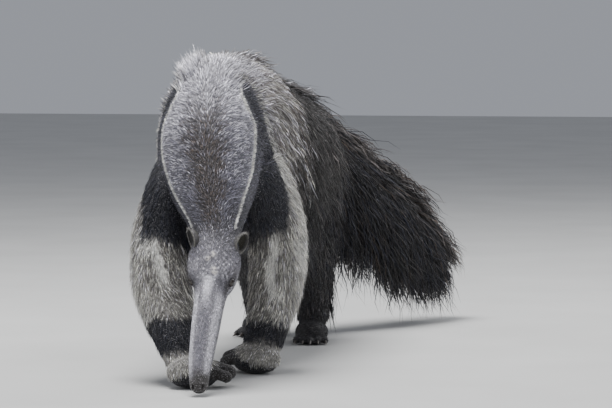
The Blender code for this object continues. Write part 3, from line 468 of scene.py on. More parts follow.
def tip_seat(angle, turn=0.0):
    """The seat on the round snout tip, raised from straight ahead by an angle and turned to a side."""
    k = (len(SPINE) + len(FACE) - 1) * STEPS
    centre, side, up, forward = (
        Vector(rows[k]) for rows in (TRUNK.centre, TRUNK.side, TRUNK.up, TRUNK.forward)
    )
    size = TRUNK.size[k]
    out = (forward * math.cos(angle) + up * math.sin(angle)) * math.cos(turn) + side * math.sin(turn)
    reach = (size[0], size[1] if angle > 0 else size[2], SNOUT_TIP_ROUND)
    local = Vector((out.dot(side) / reach[0], out.dot(up) / reach[1], out.dot(forward) / reach[2]))
    return seat(centre + out / local.length, out.normalized(), side)


# Meshes.
def object_of(bm, name):
    bmesh.ops.recalc_face_normals(bm, faces=bm.faces)
    mesh = bpy.data.meshes.new(name)
    bm.to_mesh(mesh)
    bm.free()
    made = bpy.data.objects.new(name, mesh)
    bpy.context.scene.collection.objects.link(made)
    return made


def edges_round(row):
    """The edge from each point of a ring to the next."""
    after = [*row[1:], row[0]]
    return [next(e for e in a.link_edges if e.other_vert(a) is b) for a, b in zip(row, after)]


def tube(bm, rings):
    """A closed tube through rings of points, extruded ring by ring from a circle."""
    row = bmesh.ops.create_circle(bm, cap_ends=False, segments=len(rings[0]), radius=1.0)["verts"]
    for vert, point in zip(row, rings[0]):
        vert.co = point
    edges = edges_round(row)
    bmesh.ops.contextual_create(bm, geom=edges)
    for points in rings[1:]:
        grown = bmesh.ops.extrude_edge_only(bm, edges=edges)["geom"]
        fresh = {item for item in grown if isinstance(item, bmesh.types.BMVert)}
        row = [next(e.other_vert(v) for e in v.link_edges if e.other_vert(v) in fresh) for v in row]
        for vert, point in zip(row, points):
            vert.co = point
        edges = edges_round(row)
    bmesh.ops.contextual_create(bm, geom=edges)


def ball(bm, at, radii, turn):
    made = bmesh.ops.create_uvsphere(bm, u_segments=32, v_segments=20, radius=1.0)["verts"]
    matrix = Matrix.Translation(at) @ turn.to_3x3().to_4x4() @ Matrix.Diagonal((*radii, 1))
    bmesh.ops.transform(bm, matrix=matrix, verts=made)


def capsule(bm, start, end, girth):
    """A finger with round ends."""
    sides = 20
    forward = (end - start).normalized()
    side = forward.orthogonal().normalized()
    up = forward.cross(side)
    length = (end - start).length
    stations = [(-girth * math.cos(t), math.sin(t)) for t in (0.15, 0.5, 0.9, 1.3)]
    stations += [(length * k / 4, 1.0) for k in range(5)]
    stations += [(length + girth * math.cos(t), math.sin(t)) for t in (1.3, 0.9, 0.5, 0.15)]
    rings = []
    for along, share in stations:
        turns = [math.tau * k / sides for k in range(sides)]
        centre = start + forward * along
        rings.append([centre + (side * math.cos(t) + up * math.sin(t)) * girth * share for t in turns])
    tube(bm, rings)


def baked(obj):
    """Replaces an object's mesh by what its modifiers make of it."""
    graph = bpy.context.evaluated_depsgraph_get()
    old = obj.data
    mesh = bpy.data.meshes.new_from_object(obj.evaluated_get(graph))
    obj.modifiers.clear()
    obj.data = mesh
    bpy.data.meshes.remove(old)


def points_of(mesh):
    found = np.empty(len(mesh.vertices) * 3)
    mesh.vertices.foreach_get("co", found)
    return found.reshape(-1, 3)


def normals_of(mesh):
    found = np.empty(len(mesh.vertices) * 3)
    mesh.vertex_normals.foreach_get("vector", found)
    return found.reshape(-1, 3)


def corners_of(mesh):
    """Corner numbers of each triangle."""
    mesh.calc_loop_triangles()
    found = np.empty(len(mesh.loop_triangles) * 3, dtype=np.int64)
    mesh.loop_triangles.foreach_get("vertices", found)
    return found.reshape(-1, 3)


class Whereabouts:
    """Which form each point belongs to, with its place, its angle and directions there."""

    def __init__(self, points):
        seen = [form.locate(points) for form in FORMS.values()]
        gaps = [
            np.abs(np.abs(height) - coat_depth(name)(place))
            for name, (place, _, height) in zip(FORM_NAMES, seen)
        ]
        self.part = np.argmin(gaps, axis=0)
        low = points[:, 2] < PAW_TOP
        face = seen[FORM_NAMES.index("trunk")][2] < FACE_NEAR
        for k, name in enumerate(FORM_NAMES):
            if "leg" in name:
                kind, side = name.split("_")
                at = FOREPAW_AT[side] if kind == "foreleg" else HINDFOOT_AT[side]
                near = np.hypot(*(points[:, :2] - (np.array(at) - GROUND_MIDDLE)[:2]).T) < PAW_REACH
                self.part[low & near & ~face] = k
        row = np.arange(len(points))
        self.points = points
        self.place = np.array([place for place, _, _ in seen])[self.part, row]
        self.angle = np.array([angle for _, angle, _ in seen])[self.part, row]

        def direction(kind):
            rows = [form.between(getattr(form, kind), s[0]) for form, s in zip(FORMS.values(), seen)]
            return np.array(rows)[self.part, row]

        self.forward, self.up = direction("forward"), direction("up")

    def on(self, start):
        return np.isin(self.part, [k for k, name in enumerate(FORM_NAMES) if name.startswith(start)])

    def from_top(self):
        """Degrees from the top line, on either side."""
        return degrees_from_top(np.degrees(self.angle))

    def from_outside(self):
        """Degrees round a leg: outer side 0, front 90, inner side 180, rear 270."""
        turn = np.degrees(self.angle)
        right = np.isin(self.part, [k for k, name in enumerate(FORM_NAMES) if name.endswith("right")])
        return np.where(right, 180 - turn, turn) % 360


# Kinds of hair: colour at the root and at the tip, and how far one differs from the next.
Kind = namedtuple("Kind", "root tip spread")
KINDS = {
    "silver": Kind((0.130, 0.126, 0.144), (0.900, 0.880, 0.960), 0.42),
    "lilac": Kind((0.046, 0.045, 0.058), (0.205, 0.198, 0.254), 0.46),
    "white": Kind((0.680, 0.665, 0.630), (0.930, 0.920, 0.880), 0.08),
    # The black hair's tips are tinted blue as a painted sheen.
    "black": Kind((0.006, 0.006, 0.010), (0.016, 0.018, 0.031), 0.42),
    "brown": Kind((0.016, 0.011, 0.008), (0.105, 0.070, 0.047), 0.34),
    "cream": Kind((0.205, 0.196, 0.166), (0.840, 0.822, 0.750), 0.38),
    "umber": Kind((0.006, 0.005, 0.005), (0.020, 0.0165, 0.0165), 0.46),
    "dust": Kind((0.032, 0.027, 0.025), (0.200, 0.178, 0.172), 0.34),
    "face": Kind((0.066, 0.062, 0.066), (0.150, 0.144, 0.156), 0.42),
    "muzzle": Kind((0.016, 0.014, 0.013), (0.045, 0.041, 0.040), 0.20),
}
KIND_NAMES = list(KINDS)
KIND_ROOTS = np.array([kind.root for kind in KINDS.values()])
KIND_TIPS = np.array([kind.tip for kind in KINDS.values()])
KIND_SPREADS = np.array([kind.spread for kind in KINDS.values()])


# Markings, as places along the trunk and degrees from its top line.
NECK_LINE = [
    (9.85, 62), (9.5, 64), (9.1, 68), (8.6, 74), (8.0, 77), (7.4, 72), (7.0, 62), (6.88, 45), (6.74, 35),
    (6.56, 30), (6.42, 29),
]
BAND_LINE = [
    (6.33, 32), (6.30, 36), (6.35, 43), (6.44, 53), (6.47, 70), (6.35, 86), (5.8, 101),
]
UNDER_LINE = [(5.25, 112), (4.5, 129), (4.2, 200)]
WEDGE = [(11.0, 200), *NECK_LINE[1:], *BAND_LINE, *UNDER_LINE]
# Down the outer side of the left upper arm, from the floor under the shoulders.
ARM_LINE = [
    (0.108, -0.014, 0.433), (0.122, -0.020, 0.395), (0.134, -0.015, 0.356), (0.139, -0.014, 0.326),
    (0.132, -0.020, 0.295), (0.125, -0.017, 0.262),
]
ARM_SHIFT = -0.085  # how far ahead the right arm's line lies
# White streaks on the forelegs, as places and degrees from the outer side.
LEG_STREAKS = {
    "left": [
        [(1.75, 34), (2.40, 17)],
        [(1.55, 80), (2.04, 86), (2.49, 93), (2.91, 93), (3.15, 80), (3.21, 68)],
    ],
    "right": [[(1.90, 60), (2.20, 75)], [(2.16, 88), (2.55, 99), (3.00, 104)]],
}
NECK_LINE_WIDTH = 0.0027
BAND_LINE_WIDTH = 0.0150
SHOULDER_LOW = 0.262  # where the black of the upper arm ends, over the floor
WRIST_BANDS = {"left": (0.056, 0.098), "right": (0.062, 0.122)}
TOE_TOP = {"left": 0.028, "right": 0.034}
TOE_SLOPE = {"left": 0.45, "right": 0.30}
PLACE_LENGTH = 0.075  # about how long one place of the trunk is


def trunk_line(pairs, side):
    """Points of a marking's line on the trunk's surface, given from the top line on one side."""
    pairs = np.array(pairs, float)
    turn = np.radians(90 - pairs[:, 1] if side == "left" else 90 + pairs[:, 1])
    return TRUNK.point(pairs[:, 0], turn, trunk_depth(pairs[:, 0]))


def arm_line(side):
    arm = np.array(ARM_LINE) - GROUND_MIDDLE
    if side == "right":
        arm[:, 0] = -arm[:, 0] - 2 * GROUND_MIDDLE[0]
        arm[:, 1] += ARM_SHIFT * smooth(0.40, 0.30, arm[:, 2])
    return arm


def leg_line(side, pairs):
    pairs = np.array(pairs, float)
    turn = np.radians(pairs[:, 1] if side == "left" else 180 - pairs[:, 1])
    return FORMS[f"foreleg_{side}"].point(pairs[:, 0], turn, leg_depth(pairs[:, 0]))


def gap_to_line(points, line):
    """Distance of each point from a line through given points."""
    best = np.full(len(points), np.inf)
    for a, b in zip(line, line[1:]):
        way = b - a
        t = np.clip((points - a) @ way / (way @ way), 0, 1)
        best = np.minimum(best, np.linalg.norm(points - a - t[:, None] * way, axis=1))
    return best


def gap_to_neck_line(points):
    return np.minimum(*(gap_to_line(points, trunk_line(NECK_LINE, side)) for side in SIDES))


def gap_to_band(points, side):
    """Distance of each point from the rear edge of the black wedge and the upper arm's line."""
    return np.minimum(gap_to_line(points, trunk_line(BAND_LINE, side)), gap_to_line(points, arm_line(side)))


def gap_to_digits(points):
    """How far each point lies outside the bare end of the nearest finger."""
    best = np.full(len(points), np.inf)
    for side in SIDES:
        for finger in FINGERS:
            root, knuckle = (np.array(paw_frame(side) @ Vector(at)) for at in (finger.root, finger.knuckle))
            start = root + (knuckle - root) * BARE_FINGER_START
            best = np.minimum(best, gap_to_line(points, [start, knuckle]) - finger.girth)
    return best


def inside(shape, x, y):
    """Whether points lie inside a closed shape."""
    found = np.zeros(len(x), bool)
    for (ax, ay), (bx, by) in zip(shape, shape[1:] + shape[:1]):
        if ay != by:
            found ^= ((ay > y) != (by > y)) & (x < (bx - ax) * (y - ay) / (by - ay) + ax)
    return found


class Markings:
    """Shares of each kind of hair at each point, laid one over another.

    In its methods s is the place along the trunk and top the degrees from its top line.
    """

    def __init__(self, where, stray):
        """Stray roughens the markings' edges, in metres."""
        self.where = where
        self.points = where.points + draw.normal(size=where.points.shape) * stray
        self.share = {name: np.zeros(len(self.points)) for name in KINDS}
        self.jitter = draw.normal(size=len(self.points)) * stray / PLACE_LENGTH
        self.s = where.place + self.jitter
        self.top = where.from_top()
        self.fine = ripple(self.points, 0.035, 4)
        self.trunk = where.on("trunk")
        self.wedge = inside(WEDGE, self.s, self.top + 60 * self.jitter)
        self.pale = self.trunk & ~self.wedge

    def lay(self, mask, amount, **kinds):
        """Lays a mix over what is there, where the mask holds, as thick as the amount."""
        cover = np.where(mask, amount, 0.0)
        for name in self.share:
            self.share[name] *= 1 - cover
        for name, part in kinds.items():
            self.share[name] += cover * part

    def body(self):
        """Dark flanks and belly, and a grizzled band behind the shoulders."""
        s, top = self.s, self.top
        self.lay(np.ones(len(s), bool), 1.0, umber=0.9, dust=0.1)
        patch = ripple(self.points, 0.11, 3)
        band = smooth(3.6, 4.9, s + 0.3 * patch - 0.009 * np.maximum(top - 60, 0))
        self.lay(self.trunk, band, dust=0.38, brown=0.24, silver=0.19, cream=0.19)
        crest = smooth(30, 12, top + 6 * self.fine) * smooth(6.2, 5.0, s)
        self.lay(self.trunk, 0.7 * crest, umber=0.62, dust=0.28, silver=0.10)
        self.lay(self.trunk, 0.95 * smooth(100, 125, top), umber=0.7, black=0.3)

    def neck(self):
        """The black wedge with a painted sheen; between its sides a frosted neck with a brown streak, painted
        shade lower down and a painted highlight on the hump.
        """
        s, top, fine = self.s, self.top, self.fine
        # The wedge is black with some lilac, and more lilac on its upper part: a painted slate sheen on the
        # black hair.
        self.lay(self.trunk & self.wedge, 1.0, black=0.82, lilac=0.18)
        self.lay(self.trunk & self.wedge, 0.40 * stretch(s, 6.6, 7.3, 8.4, 9.4), lilac=1.0)
        neck = smooth(5.9, 6.6, s)
        self.lay(self.pale, neck, lilac=1.0)
        frost = 0.32 + 0.46 * smooth(7.8, 6.8, s) * smooth(85, 40, top) - 0.30 * smooth(7.8, 9.2, s)
        self.lay(self.pale, neck * np.clip(frost + 0.14 * fine, 0, 1), silver=1.0)
        # Painted shade on the neck's sides, darker away from its top line.
        shade = stretch(s, 8.1, 9.5, 10.2, 11.2) * smooth(15, 50, top)
        self.lay(self.pale, 0.68 * shade, umber=0.55, lilac=0.45)
        # The hump's pale top is partly pale-tipped hair and partly a painted highlight of light from above.
        hump = stretch(s, 5.2, 5.9, 6.2, 6.9) * smooth(46, 30, top)
        self.lay(self.pale, hump, silver=0.78, dust=0.14, umber=0.08)
        width = np.interp(s, [6.6, 7.2, 7.8, 8.6, 9.6, 10.4], [9, 20, 24, 25, 21, 10])
        streak = smooth(1.5, 0.5, top / width + 0.35 * fine) * stretch(s, 6.5, 7.9, 10.0, 10.8)
        self.lay(self.pale, 0.92 * streak, brown=0.48, umber=0.38, lilac=0.14)
        head = smooth(9.4, 10.4, s) * (1 - 0.7 * streak)
        self.lay(self.pale, head, face=0.58, lilac=0.22, silver=0.10, umber=0.10)

    def head(self):
        """Pale and dark freckles, darker temples and throat."""
        s, top = self.s, self.top
        speck = ripple(self.points, 0.0075, 5, 12)
        head = smooth(9.4, 10.4, s)
        crown = head * smooth(12.8, 12.2, s) * smooth(75, 35, top)
        self.lay(self.pale, 0.66 * crown * smooth(0.25, 0.75, speck), silver=1.0)
        dark = head * smooth(-0.05, -0.60, speck) * smooth(16.0, 14.5, s)
        self.lay(self.pale, 0.66 * dark, umber=0.8, lilac=0.2)
        self.lay(self.pale, 0.42 * stretch(s, 9.2, 10.2, 11.0, 12.6), umber=0.6, lilac=0.4)
        for turn in EAR_ANGLES.values():
            ear = np.array(head_seat(EAR_PLACE + 0.35, turn).translation)
            temple = smooth(0.028, 0.012, distance(self.points, ear))
            self.lay(self.trunk, 0.55 * temple, umber=0.5, lilac=0.5)
        throat = smooth(96, 130, top) * smooth(9.6, 10.4, s)
        self.lay(self.trunk, 0.6 * throat, umber=0.6, lilac=0.4)

    def snout(self):
        """Painted highlights on the bridge below the eyes and on the edges further down, painted shade down
        the middle and in the hollows beside the bridge, and a dark tip.
        """
        s, top, trunk = self.s, self.top, self.trunk
        # Painted highlight along the bridge of the snout below the eyes.
        bridge = smooth(24, 6, top) * stretch(s, 12.2, 12.7, 13.0, 13.8)
        self.lay(trunk, 0.60 * bridge, silver=1.0)
        # Painted shade down the middle of the snout, lower down.
        middle = smooth(30, 10, top + 5 * self.fine) * smooth(13.2, 13.9, s)
        self.lay(trunk, 0.62 * middle, umber=0.45, lilac=0.55)
        # Painted highlights along the upper sides of the snout.
        edge = stretch(top, 26, 40, 62, 86) * smooth(12.7, 13.5, s)
        self.lay(trunk, 0.45 * edge, silver=1.0)
        # Painted shade in the hollows beside the bridge, ahead of the eyes.
        hollow = stretch(top, 24, 40, 60, 95) * stretch(s, 12.2, 12.6, 12.9, 13.3)
        self.lay(trunk, 0.35 * hollow, umber=0.5, lilac=0.5)
        for side in SIDES:
            self.eye(side)
        self.lay(trunk, smooth(15.12, 15.80, s + 0.15 * self.fine), muzzle=1.0)

    def eye(self, side):
        """Dark skin and painted shade of the socket round the eye and behind it, with a pale fold above."""
        local = local_to(self.points, eye_seat(side))
        x = local[:, 0]
        y = local[:, 1] if side == "left" else -local[:, 1]
        near = self.trunk & (np.abs(local[:, 2]) < EYE_NEAR)
        away = np.hypot((x - 0.006) / 0.032, (y + 0.001) / 0.0135)
        # Dark skin and painted shade of the socket's groove, round the eye and behind it.
        self.lay(near, 0.92 * smooth(1.15, 0.50, away), umber=0.85, lilac=0.15)
        fold = bell(y, 0.0105, 0.0022) * smooth(0.020, 0.012, np.abs(x - 0.004))
        self.lay(near, 0.40 * fold, silver=1.0)

    def wedge_edges(self):
        """The white line along the neck, and the pale band behind the wedge and down the upper arm."""
        place = self.where.place
        behind = ~self.wedge & ~(self.trunk & (place > 6.9))
        for side in SIDES:
            near = gap_to_line(self.where.points, trunk_line(NECK_LINE, side))
            width = NECK_LINE_WIDTH * np.interp(place, [6.3, 6.8, 7.2, 8.2, 9.8], [0.4, 0.8, 1.3, 1.0, 0.7])
            line = smooth(6.3, 6.8, place) * smooth(width * 1.5, width * 0.7, near)
            self.lay(self.trunk, 0.95 * line, white=1.0)
            near = gap_to_band(self.points, side)
            band = smooth(BAND_LINE_WIDTH * 1.7, BAND_LINE_WIDTH * 0.5, near)
            self.lay(behind, 0.80 * band, white=0.40, cream=0.40, dust=0.20)
            self.lay(behind & self.trunk, 0.5 * band * (1 - smooth(45, 75, self.top)), dust=0.7, umber=0.3)

    def tail(self):
        """Dark, with browner hair and a painted sheen along its upper side."""
        tail = self.where.on("tail")
        self.lay(tail, 1.0, umber=0.56, black=0.41, brown=0.03)
        # Browner hair and a painted sheen of light from above along the upper side.
        self.lay(tail, 0.60 * smooth(78, 22, self.top + 12 * self.fine), dust=0.70, brown=0.30)

    def foreleg(self, side):
        """Pale with white streaks under a black shoulder, painted shade on its inner side, a black ring at
        the wrist and dark toes.
        """
        fine, height = self.fine, self.points[:, 2]
        leg, turn = self.where.on(f"foreleg_{side}"), self.where.from_outside()
        place = self.where.place + 0.6 * self.jitter
        self.lay(leg, 1.0, cream=0.62, silver=0.20, dust=0.14, brown=0.04)
        self.lay(leg, 0.8 * smooth(2.3, 1.0, place), dust=0.36, brown=0.20, cream=0.30, silver=0.14)
        # Painted shade on the inner side of the leg.
        inner = stretch(turn, 42, 95, 200, 250) * smooth(0.09, 0.13, height)
        self.lay(leg, 0.62 * inner, dust=0.74, cream=0.26)
        outer = (smooth(40, 14, turn) + smooth(320, 346, turn)) * smooth(3.6, 2.8, place)
        self.lay(leg, 0.55 * outer, white=0.6, cream=0.4)
        for streak in LEG_STREAKS[side]:
            near = gap_to_line(self.points, leg_line(side, streak))
            self.lay(leg, 0.95 * smooth(0.012, 0.006, near), white=1.0)
        border = np.interp(self.where.place, [0.2, 0.6, 0.9, 1.4], [10, 18, 32, 60])
        front = smooth(border - 6, border + 6, turn) * smooth(250, 225, turn) > 0.5
        low = SHOULDER_LOW + 0.012 * np.cos(np.radians(turn - 60)) + 0.006 * fine
        self.lay(leg & front, smooth(low - 0.006, low + 0.004, height), black=1.0)
        rear = stretch(turn, 200, 225, 300, 320) * smooth(3.4, 2.6, place)
        self.lay(leg, 0.5 * rear, dust=0.7, cream=0.3)
        under, over = WRIST_BANDS[side]
        level = height - 0.010 * np.cos(np.radians(turn - 110)) - 0.003 * fine
        ring = stretch(level, under - 0.006, under + 0.003, over - 0.005, over + 0.004)
        self.lay(leg, ring, black=0.9, umber=0.1)
        inwards = local_to(self.points, paw_frame(side))[:, 0]
        toe_top = TOE_TOP[side] + TOE_SLOPE[side] * inwards + 0.004 * fine
        self.lay(leg, smooth(toe_top + 0.004, toe_top - 0.006, height), black=0.7, umber=0.3)
        digits = smooth(0.005, 0.001, gap_to_digits(self.points)) * smooth(0.055, 0.045, height)
        self.lay(leg, digits, muzzle=0.85, umber=0.15)

    def hindleg(self, side):
        self.lay(self.where.on(f"hindleg_{side}"), 1.0, umber=0.66, black=0.30, dust=0.04)


def coat_mix(where, stray):
    """Share of each kind of hair at each point."""
    marks = Markings(where, stray)
    marks.body()
    marks.neck()
    marks.head()
    marks.snout()
    marks.wedge_edges()
    marks.tail()
    for side in SIDES:
        marks.foreleg(side)
        marks.hindleg(side)
    total = np.maximum(sum(marks.share.values()), 1e-6)
    return np.array([marks.share[name] / total for name in KIND_NAMES]).T


def paint(mesh, colours):
    """Stores a colour at each point of a mesh."""
    attribute = mesh.color_attributes.new(name="coat", type="FLOAT_COLOR", domain="POINT")
    rows = np.ones((len(colours), 4), np.float32)
    rows[:, :3] = colours
    attribute.data.foreach_set("color", rows.ravel())


def remember(mesh, name, values):
    attribute = mesh.attributes.new(name=name, type="FLOAT", domain="POINT")
    attribute.data.foreach_set("value", np.asarray(values, np.float32))


# Skin.
def make_skin():
    bm = bmesh.new()
    for name, form in FORMS.items():
        tube(bm, form.rings(64 if name == "trunk" else 40, coat_depth(name)))
    for side in SIDES:
        frame_of = paw_frame(side)
        radii = (FIST_HALF_LENGTH - PAW_DEPTH, FIST_HALF_WIDTH - PAW_DEPTH, FIST_HEIGHT * 0.54 - PAW_DEPTH)
        ball(bm, frame_of @ Vector((0, 0, FIST_HEIGHT * 0.46)), radii, frame_of)
        for finger in FINGERS:
            root, knuckle = frame_of @ Vector(finger.root), frame_of @ Vector(finger.knuckle)
            capsule(bm, root, knuckle, finger.girth - FINGER_DEPTH)
        frame_of = foot_frame(side)
        radii = (HINDFOOT_HALF_WIDTH, HINDFOOT_HALF_LENGTH, HINDFOOT_HEIGHT * 0.60)
        radii = [reach - PAW_DEPTH for reach in radii]
        ball(bm, frame_of @ Vector((0, 0, HINDFOOT_HEIGHT * 0.36)), radii, frame_of)
        for k in range(TOES):
            root, end = toe_points(frame_of, k)
            capsule(bm, root, end, TOE_GIRTH - FINGER_DEPTH)
    skin = object_of(bm, "skin")
    remesh = skin.modifiers.new("blend", "REMESH")
    remesh.mode = "VOXEL"
    remesh.voxel_size = SKIN_VOXEL
    baked(skin)
    relax(skin, 5)
    thin_skin(skin)
    refine_head(skin)
    lift_from_floor(skin)
    return skin


def relax(obj, rounds):
    soft = obj.modifiers.new("relax", "SMOOTH")
    soft.factor = 0.5
    soft.iterations = rounds
    baked(obj)


def thin_skin(skin):
    """Fewer faces under the long coat; head and feet stay fine."""
    points = points_of(skin.data)
    trunk_place, _, trunk_height = TRUNK.locate(points)
    fine = ((trunk_place > 9.6) & (np.abs(trunk_height) < 0.02)) | (points[:, 2] < 0.06)
    group = skin.vertex_groups.new(name="thin")
    group.add([int(k) for k in np.flatnonzero(~fine)], 1.0, "REPLACE")
    group.add([int(k) for k in np.flatnonzero(fine)], 0.0, "REPLACE")
    thin = skin.modifiers.new("thin", "DECIMATE")
    thin.vertex_group = "thin"
    thin.ratio = SKIN_TRIANGLES / (2 * len(skin.data.polygons))
    thin.use_collapse_triangulate = True
    baked(skin)
    skin.vertex_groups.clear()


def split_near(skin, chosen):
    """Splits the faces whose middle the test chooses."""
    bm = bmesh.new()
    bm.from_mesh(skin.data)
    middles = np.array([face.calc_center_median() for face in bm.faces])
    picked = chosen(middles)
    edges = {edge for face, hit in zip(bm.faces, picked) if hit for edge in face.edges}
    bmesh.ops.subdivide_edges(bm, edges=list(edges), cuts=1, use_grid_fill=True)
    bmesh.ops.triangulate(bm, faces=bm.faces)
    bm.to_mesh(skin.data)
    bm.free()


def move_points(mesh, points):
    mesh.vertices.foreach_set("co", points.ravel())
    mesh.update()


def refine_head(skin):
    """A finer mesh on the face, brought back to its form and shaped."""
    eyes = [np.array(eye_seat(side).translation) for side in SIDES]
    nose = np.array(tip_seat(0.2).translation)

    def on_face(points):
        place, _, height = TRUNK.locate(points)
        return (place > 10.3) & (np.abs(height) < FACE_DEEP)

    def on_detail(points):
        near = np.min([distance(points, eye) for eye in eyes], axis=0) < 0.021
        return near | (distance(points, nose) < 0.026)

    split_near(skin, on_face)
    split_near(skin, on_detail)
    points = points_of(skin.data)
    place, angle, height = TRUNK.locate(points)
    weight = smooth(10.0, 10.7, place) * (np.abs(height) < FACE_DEEP)
    before_tip = place < 16.9
    smooth_face = TRUNK.point(place, angle, trunk_depth(place))
    points += (smooth_face - points) * (weight * before_tip)[:, None]
    move_points(skin.data, shape_head(points, place, np.degrees(angle), weight))


def local_to(points, matrix):
    inverse = np.array(matrix.inverted())
    return points @ inverse[:3, :3].T + inverse[:3, 3]


def lump_swell(lump, points):
    """How high on a worn lump each point is, from 0 to 1."""
    spot = TRUNK.point(np.array(lump.place), np.radians(90 - lump.turn), np.array(0.0))
    return bell(distance(points, spot), 0, lump.reach)


def worn_at(points):
    """How worn the skin is, from 0 to 1."""
    return np.clip(sum(lump_swell(lump, points) for lump in WORN_LUMPS), 0, 1)


def shape_head(points, place, angle, weight):
    """Brows, eye sockets with their lids, nostrils, the line of the mouth, and worn lumps."""
    top = degrees_from_top(angle)
    # A low ridge along the bridge of the snout, and hollows beside it ahead of the eyes.
    lift = 0.0010 * smooth(18, 4, top) * stretch(place, 12.2, 13.0, 15.6, 16.4)
    lift -= 0.0026 * bell(top, 46, 15) * bell(place, 12.85, 0.5)
    # Brow bone over each eye.
    lift += 0.0030 * bell(top, 52, 15) * bell(place, 11.75, 0.42)
    # Jaw line.
    lift -= 0.0010 * bell(top, 124, 8) * stretch(place, 12.2, 13.0, 16.0, 16.6)
    for lump in WORN_LUMPS:
        lift += lump.rise * lump_swell(lump, points)
    out = unit(points - TRUNK.between(TRUNK.centre, place))
    points = points + out * (lift * weight)[:, None]
    for side in SIDES:
        points = shape_eye(points, side)
        points = shape_nostril(points, side)
    return shape_mouth(points)


def shape_eye(points, side):
    """Skin that hugs the eyeball round an almond opening, with a heavier upper lid."""
    eye = eye_seat(side)
    ball_at = np.array(eye @ Vector((0, 0, -EYE_SUNK * EYE_RADIUS)))
    local = local_to(points, eye)
    x = local[:, 0]
    y = local[:, 1] if side == "left" else -local[:, 1]
    near = np.abs(local[:, 2]) < EYE_NEAR
    along, across = EYE_RADIUS * 1.22, EYE_RADIUS * 0.62
    sag = LID_SAG * np.cos(np.clip(x / along, -1, 1) * math.pi / 2)
    reach = np.sqrt((x / along) ** 2 + ((y + sag) / across) ** 2 + 1e-9)
    hug = ball_at + unit(points - ball_at) * (EYE_RADIUS + LID_THICKNESS)
    hold = smooth(2.1, 1.25, reach) * smooth(EYE_RADIUS * 2.1, EYE_RADIUS * 1.3, distance(points, ball_at))
    points = points + (hug - points) * (near * hold * 0.85)[:, None]
    # A rim round the opening, a fold round the rim, and skin sunk behind the eyeball inside it.
    rise = LID_THICKNESS * bell(reach, 1.22, 0.16) - FOLD_DEPTH * bell(reach, 1.62, 0.16)
    rise -= SOCKET_DEPTH * smooth(1.08, 0.90, reach)
    return points + np.array(eye.to_3x3().col[2]) * (near * rise)[:, None]


def shape_nostril(points, side):
    nostril = tip_seat(NOSTRIL_ANGLE, NOSTRIL_TURN if side == "left" else -NOSTRIL_TURN)
    local = local_to(points, nostril)
    near = np.abs(local[:, 2]) < 0.008
    reach = np.sqrt((local[:, 0] / NOSTRIL_SIZE[0]) ** 2 + (local[:, 1] / NOSTRIL_SIZE[1]) ** 2)
    rise = 0.0012 * bell(reach, 1.5, 0.30) - NOSTRIL_DEPTH * smooth(1.15, 0.55, reach)
    return points + np.array(nostril.to_3x3().col[2]) * (near * rise)[:, None]


def shape_mouth(points):
    """A curved slit under the snout's tip, between two lips."""
    mouth = tip_seat(MOUTH_ANGLE)
    local = local_to(points, mouth)
    x = np.abs(local[:, 0])
    near = (np.abs(local[:, 2]) < 0.010) & (x < MOUTH_LENGTH * 0.75)
    curve = local[:, 1] + 0.0016 * (x / (MOUTH_LENGTH / 2)) ** 2
    fade = smooth(MOUTH_LENGTH * 0.60, MOUTH_LENGTH * 0.42, x)
    rise = LIP_RISE * bell(np.abs(curve), 0.0024, 0.0011) - MOUTH_DEPTH * bell(curve, 0, 0.0009)
    return points + np.array(mouth.to_3x3().col[2]) * (near * fade * rise)[:, None]


def lift_from_floor(skin):
    """Flattens the soles on the floor."""
    points = points_of(skin.data)
    points[:, 2] = np.maximum(points[:, 2], SOLE_HEIGHT)
    move_points(skin.data, points)


